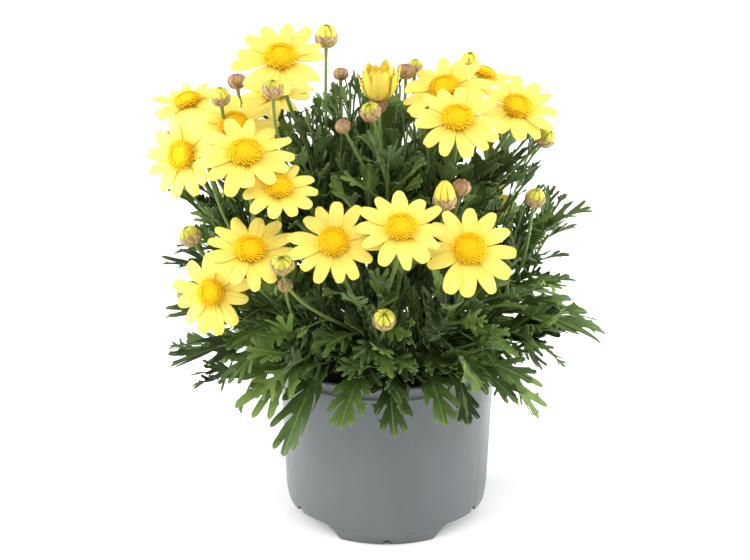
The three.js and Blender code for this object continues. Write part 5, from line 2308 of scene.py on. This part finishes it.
@dataclass
class Petals:
    """The ray florets of a bloom: separate blades that overlap, each with its own reach, roll and droop."""

    HALF: ClassVar[float] = 0.47
    SHOULDER: ClassVar[float] = 0.52
    SWAY: ClassVar[float] = 0.07
    REACH: ClassVar[Pair] = (0.93, 1.03)
    DROOP: ClassVar[Pair] = (-2.4, 1.4)
    SWELL_LENGTH: ClassVar[float] = 4.5
    STEEP: ClassVar[float] = 1.4
    BASE: ClassVar[float] = 0.75
    ROWS: ClassVar[int] = 12
    COLUMNS: ClassVar[int] = 11
    THICKNESS: ClassVar[float] = 0.3
    OPENING_RINGS: ClassVar[tuple[PetalRing, ...]] = (
        PetalRing(0.2, (0.92, 1.12), 0.27, 0.86, point=1.3),
        PetalRing(0.12, (0.84, 1.08), 0.24, 0.85, 3, 1.3),
    )

    name: str
    bloom: Bloom
    seed: int
    variety: PetalVariety = PetalVariety()

    def petal(
        self, ring: PetalRing, middle: float, reach: float, droop: float, own: Draws, layer: float
    ) -> Patch:
        """One petal, in the frame of its flower head.

        Args:
            ring: The ring that it stands in.
            middle: The angle that it points to, in radians.
            reach: The distance from the head's axis to its tip.
            droop: How far its tip stands up.
            own: The run that varies its form.
            layer: How high its root sits above its neighbours'.

        Returns:
            Its blade.
        """
        v = self.variety
        root = ring.root * self.bloom.radius
        inner = min(0.28 * self.bloom.radius, 0.8 * root)
        step = 2 * math.pi / (self.bloom.petals - ring.fewer)
        wide = self.HALF * step * (root + self.SHOULDER * (reach - root)) * own.between(*v.breadth)
        wide *= ring.breadth
        s, u = np.meshgrid(np.linspace(0, 1, self.ROWS), np.linspace(-1, 1, self.COLUMNS), indexing="ij")
        s, u = s.ravel() ** 0.92, u.ravel()
        half = wide * (0.46 + 0.54 * np.sin(math.pi / 2 * np.clip(s / own.between(*v.widest), 0, 1)))
        half = half * (1 - own.between(*v.narrowing) * np.clip((s - 0.66) / 0.34, 0, 1) ** 2)
        tip = own.between(*v.tip) * wide * ring.point
        notch = own.between(*v.notch) * np.exp(-((u - own.between(*v.notch_place)) / 0.2) ** 2)
        taper = np.abs(u) ** 1.4 if ring.point > 1 else 1 - np.sqrt(1 - 0.985 * u**2)
        end = reach - tip * taper - notch
        out = inner + s * (end - inner)
        share = np.clip((out - root) / (reach - root), 0, 1)
        side = half * u + own.between(*v.sideways) * share**2
        curl, roll = own.between(*v.curl), own.between(*v.roll)
        if ring.swell is not None:
            curl, roll = own.between(*v.young_curl), 0.3 * roll
        grooves = np.exp(-(((np.abs(u) - 0.4) / 0.15) ** 2))
        rise = 0.35 * np.sin(math.pi * np.clip(share / 1.04, 0, 1)) + droop * share**2 + layer
        rise = rise + curl * u**2 * share + roll * side * share - 0.3 * grooves * np.sin(math.pi * s) ** 0.6
        rise = rise + own.between(*v.ripple) * np.sin(5 * share + own.between(0, 6)) * share
        flat, high = out, self.BASE + rise
        if ring.swell is not None:
            beyond = np.maximum(out - root, 0)
            tilt = self.STEEP * (1 - np.exp(-beyond / self.SWELL_LENGTH))
            spread = ring.swell * self.bloom.radius * (1 - np.exp(-beyond / self.SWELL_LENGTH))
            flat = np.minimum(out, root) + spread - rise * np.sin(tilt)
            high = self.BASE + 0.96 * beyond + rise * np.cos(tilt)
        c, d = math.cos(middle), math.sin(middle)
        sheet = np.column_stack([flat * c - side * d, flat * d + side * c, high])
        values = {"tone": np.full(len(s), own.share()), "along": s, "mark": u}
        return blade(sheet, grid(self.ROWS, self.COLUMNS)[:, ::-1], self.THICKNESS, values)

    def hang(self, middle: float, turn: Array) -> float:
        """How far a petal's tip hangs below its own droop, which is more where it points to the ground."""
        down = -float((turn @ [math.cos(middle), math.sin(middle), 0.0])[2])
        return self.bloom.wilt * max(0.0, down - 0.2) ** 1.5 / 0.5

    def build(self, finishes: Finishes) -> None:
        """Makes the ring of petals, and a second one inside it on an opening head.

        Args:
            finishes: The materials.
        """
        draws, own = Draws(self.seed), Draws(self.seed + 600)
        turn = head_turn(self.bloom.faces)
        mesh = MeshBuilder()
        rings = self.OPENING_RINGS if self.bloom.opening else (PetalRing(PETAL_ROOT, (1.0, 1.1)),)
        outer, *inside = rings
        step = 2 * math.pi / self.bloom.petals
        for i in range(self.bloom.petals):
            middle = (i + draws.between(-self.SWAY, self.SWAY)) * step + own.between(-0.08, 0.08)
            reach = self.bloom.radius * draws.between(*self.REACH) * own.between(*outer.reach)
            droop = draws.between(*self.DROOP)
            if not self.bloom.opening:
                droop += own.between(-2.0, 1.6) - self.hang(middle, turn)
            layer = 0.55 if i % 2 else -0.1
            mesh.add(self.petal(outer, middle, reach, droop, own, layer).moved(turn, self.bloom.at))
        for ring in inside:
            count = self.bloom.petals - ring.fewer
            for i in range(count):
                middle = (i + 0.5 + own.between(-0.1, 0.1)) * 2 * math.pi / count
                reach = self.bloom.radius * own.between(*ring.reach)
                patch = self.petal(ring, middle, reach, own.between(-0.6, 0.4), own, 0.1)
                mesh.add(patch.moved(turn, self.bloom.at))
        finish = finishes.young_petal if self.bloom.opening else finishes.petal
        settle(mesh.build(f"rays_{self.name}", [finish]), "petal", f"petals_{self.name}")


@dataclass
class Disc:
    """The domed disc: open starry florets round a middle of closed ones, set in a spiral."""

    BASE: ClassVar[float] = 1.5
    DOME: ClassVar[float] = 4.3
    OPEN_FROM: ClassVar[float] = 0.56
    OPEN_SIZE: ClassVar[Pair] = (0.86, 1.06)
    SHUT_SIZE: ClassVar[Pair] = (1.1, 1.2)
    SUNK: ClassVar[float] = 0.25
    STEEPEST: ClassVar[float] = 1.1

    name: str
    bloom: Bloom
    seed: int
    florets: int = 200

    def dome(self, share: Array) -> Array:
        """The dome's height over its base, at a share of its radius."""
        return self.DOME * np.sqrt(np.clip(1 - share**4, 0, 1))

    def open_floret(self) -> Patch:
        """An open floret of unit size: a short tube with five pointed lobes and a style.

        Returns:
            The floret.
        """
        turn = np.linspace(0, 2 * math.pi, 10, endpoint=False)
        star = np.where(np.arange(10) % 2 == 0, 0.64, 0.46)
        lobes, foot = ring(star, turn, np.where(star > 0.5, 0.48, 0.42)), ring(0.3, turn, -0.4)
        style = ring(0.16, np.array([0, 2.1, 4.2]), 0.72)
        points = np.vstack([lobes, foot, [0, 0, 0.34], style, [0, 0, 0.86]])
        i = np.arange(10)
        j = np.roll(i, -1)
        top = np.column_stack([i, j, np.full(10, 20)])
        sides = np.column_stack([i + 10, j + 10, j, i])
        knob = np.array([(20, 22, 21), (20, 23, 22), (20, 21, 23), (21, 22, 24), (22, 23, 24), (23, 21, 24)])
        base = np.array([[10 + k for k in range(9, -1, -1)]])
        mark = np.concatenate([np.where(star > 0.5, 1.0, 0.8), np.zeros(10), [0.5], np.full(4, 1.0)])
        return Patch(points, [top, sides, knob, base], {"mark": mark})

    def shut_floret(self) -> Patch:
        """A closed floret of unit size: a small blunt knob.

        Returns:
            The floret.
        """
        patch = turned(np.array([(0, -0.5), (0.5, -0.3), (0.58, 0.0), (0.4, 0.14), (0, 0.2)]), 5)
        patch.values["mark"] = np.clip(patch.values["along"] * 1.2, 0, 1)
        return patch

    def core(self, radius: float) -> Patch:
        """The domed body that the florets stand on.

        Args:
            radius: The disc's radius.

        Returns:
            The body, about +Z.
        """
        shares = np.array([0.97, 0.9, 0.75, 0.55, 0.3])
        side = np.column_stack([radius * 0.95 * shares, self.BASE + self.dome(shares) - self.SUNK])
        foot, top = [[0, self.BASE], [radius * 0.9, self.BASE]], [0, self.BASE + self.DOME - self.SUNK]
        core = turned(np.vstack([foot, side, top]), 36)
        middle = np.hypot(core.points[:, 0], core.points[:, 1]) < 0.6 * radius
        core.values.update(under=middle.astype(float), mark=0.5 * middle)
        return core

    def build(self, finishes: Finishes) -> None:
        """Makes the disc.

        Args:
            finishes: The materials.
        """
        draws = Draws(self.seed)
        radius = DISC_SHARE * (self.bloom.disc_radius or self.bloom.radius) * 0.98
        turn, at = head_turn(self.bloom.faces, draws.between(0, 6)), self.bloom.at
        count = self.florets if self.bloom.disc_radius is None else self.florets // 2
        mesh = MeshBuilder()
        mesh.add(self.core(radius).moved(turn, at))
        size = radius * math.sqrt(math.pi / count) * 1.04
        open_one, shut_one = self.open_floret(), self.shut_floret()
        for i in range(count):
            share = math.sqrt((i + 0.5) / count)
            around = spun(GOLDEN_ANGLE * i)
            height = float(self.dome(np.array(share * 0.95)))
            slope = 2 * self.DOME**2 * share**3 / max(height, 0.8) / radius
            tilt = min(math.atan(slope), self.STEEPEST)
            c, s = math.cos(tilt), math.sin(tilt)
            opened = share > self.OPEN_FROM + draws.between(-0.04, 0.04)
            part = open_one if opened else shut_one
            grown = size * draws.between(*(self.OPEN_SIZE if opened else self.SHUT_SIZE))
            own = around @ np.array([[c, 0, s], [0, 1, 0], [-s, 0, c]]) @ spun(draws.between(0, 6))
            stand = self.BASE + height + (draws.between(-0.15, 0.3) if opened else 0.0)
            place = around @ [radius * 0.97 * share, 0, stand]
            floret = Patch(part.points * grown, part.faces).moved(own, place).moved(turn, at)
            n = len(floret.points)
            floret.values = {
                "mark": part.values["mark"], "under": np.full(n, 0.0 if opened else 1.0),
                "along": np.full(n, share), "tone": np.full(n, draws.share()),
            }
            mesh.add(floret)
        piece = mesh.build(f"florets_{self.name}", [finishes.floret], sharp=60.0)
        settle(piece, "disc", f"disc_{self.name}")


# The studio
@dataclass
class Studio:
    """A plain white floor, soft light from above and from both sides, and the camera."""

    camera_at: Triple = (-0.00733, -1.323726, 0.608774)
    camera_pitch: float = 71.0
    camera_lens: float = 108.387
    floor_size: float = 14.0
    sky: float = 0.46
    ceiling: float = 2.2
    ceiling_tilt: float = 24.0
    ceiling_lean: float = -6.0
    ceiling_spread: float = 62.0
    softbox_at: Triple = (1.4, 0.12, 0.55)
    softbox_aim: Triple = (0.0, 0.0, 0.1)
    softbox_size: float = 1.0
    softbox_power: float = 32.0

    def floor(self) -> None:
        """The floor."""
        g = Graph("studio_floor", roughness=0.9, specular_ior_level=0.1)
        base = g.mix(g.ease(g.noise(3.0, 2), 0.3, 0.7), colour(250, 250, 249), colour(252, 252, 252))
        material = g.finish(base)
        half = self.floor_size / 2
        mesh = bpy.data.meshes.new("studio_floor")
        corners = [(-half, -half, 0), (half, -half, 0), (half, half, 0), (-half, half, 0)]
        mesh.from_pydata(corners, [], [(0, 1, 2, 3)])
        mesh.materials.append(material)
        linked("studio_floor", mesh)

    def lamp(self, name: str, at: Triple, aim: Triple, size: float, power: float) -> None:
        """One soft square lamp.

        Args:
            name: Its name.
            at: Where it hangs, in metres.
            aim: What it points at.
            size: The length of its side.
            power: Its power in watts.
        """
        data = bpy.data.lights.new(name, "AREA")
        data.size, data.energy = size, power
        lamp = linked(name, data)
        lamp.location = at
        lamp.rotation_euler = (Vector(aim) - Vector(at)).to_track_quat("-Z", "Y").to_euler()

    def light(self) -> None:
        """The broad light overhead, the two softboxes and the pale surroundings."""
        world = bpy.data.worlds.new("studio")
        world.use_nodes = True
        background = world.node_tree.nodes["Background"]
        background.inputs["Color"].default_value = (1.0, 1.0, 1.0, 1.0)
        background.inputs["Strength"].default_value = self.sky
        bpy.context.scene.world = world
        data = bpy.data.lights.new("ceiling", "SUN")
        data.energy, data.angle = self.ceiling, math.radians(self.ceiling_spread)
        ceiling = linked("ceiling", data)
        ceiling.rotation_euler = (math.radians(self.ceiling_tilt), math.radians(self.ceiling_lean), 0)
        for name, side in (("left_softbox", -1), ("right_softbox", 1)):
            x, y, z = self.softbox_at
            self.lamp(name, (side * x, y, z), self.softbox_aim, self.softbox_size, self.softbox_power)
        bpy.context.scene.view_settings.view_transform = "Standard"

    def camera(self) -> None:
        """The camera, at the photograph's angle."""
        data = bpy.data.cameras.new("camera")
        data.lens, data.sensor_width = self.camera_lens, 36.0
        camera = linked("camera", data)
        camera.location = self.camera_at
        camera.rotation_euler = (math.radians(self.camera_pitch), 0, 0)
        bpy.context.scene.camera = camera

    def build(self) -> None:
        """Makes the studio."""
        self.camera()
        self.floor()
        self.light()


def main() -> None:
    """Builds the studio, the pot, the soil and the plant."""
    logging.basicConfig(level=logging.INFO, format="%(message)s")
    Studio().build()
    finishes = Finishes()
    NurseryPot().build(finishes)
    PottingSoil().build(finishes)
    for i, name in enumerate(STEMS):
        LeafyStem(name, i).build(finishes)
    for i, (name, bloom) in enumerate(BLOOMS.items()):
        Petals(name, bloom, 300 + i).build(finishes)
        Disc(name, bloom, 800 + i).build(finishes)
    Petals("opening", OPENING, 400).build(finishes)
    Disc("opening", OPENING, 900).build(finishes)


if __name__ == "__main__":
    main()
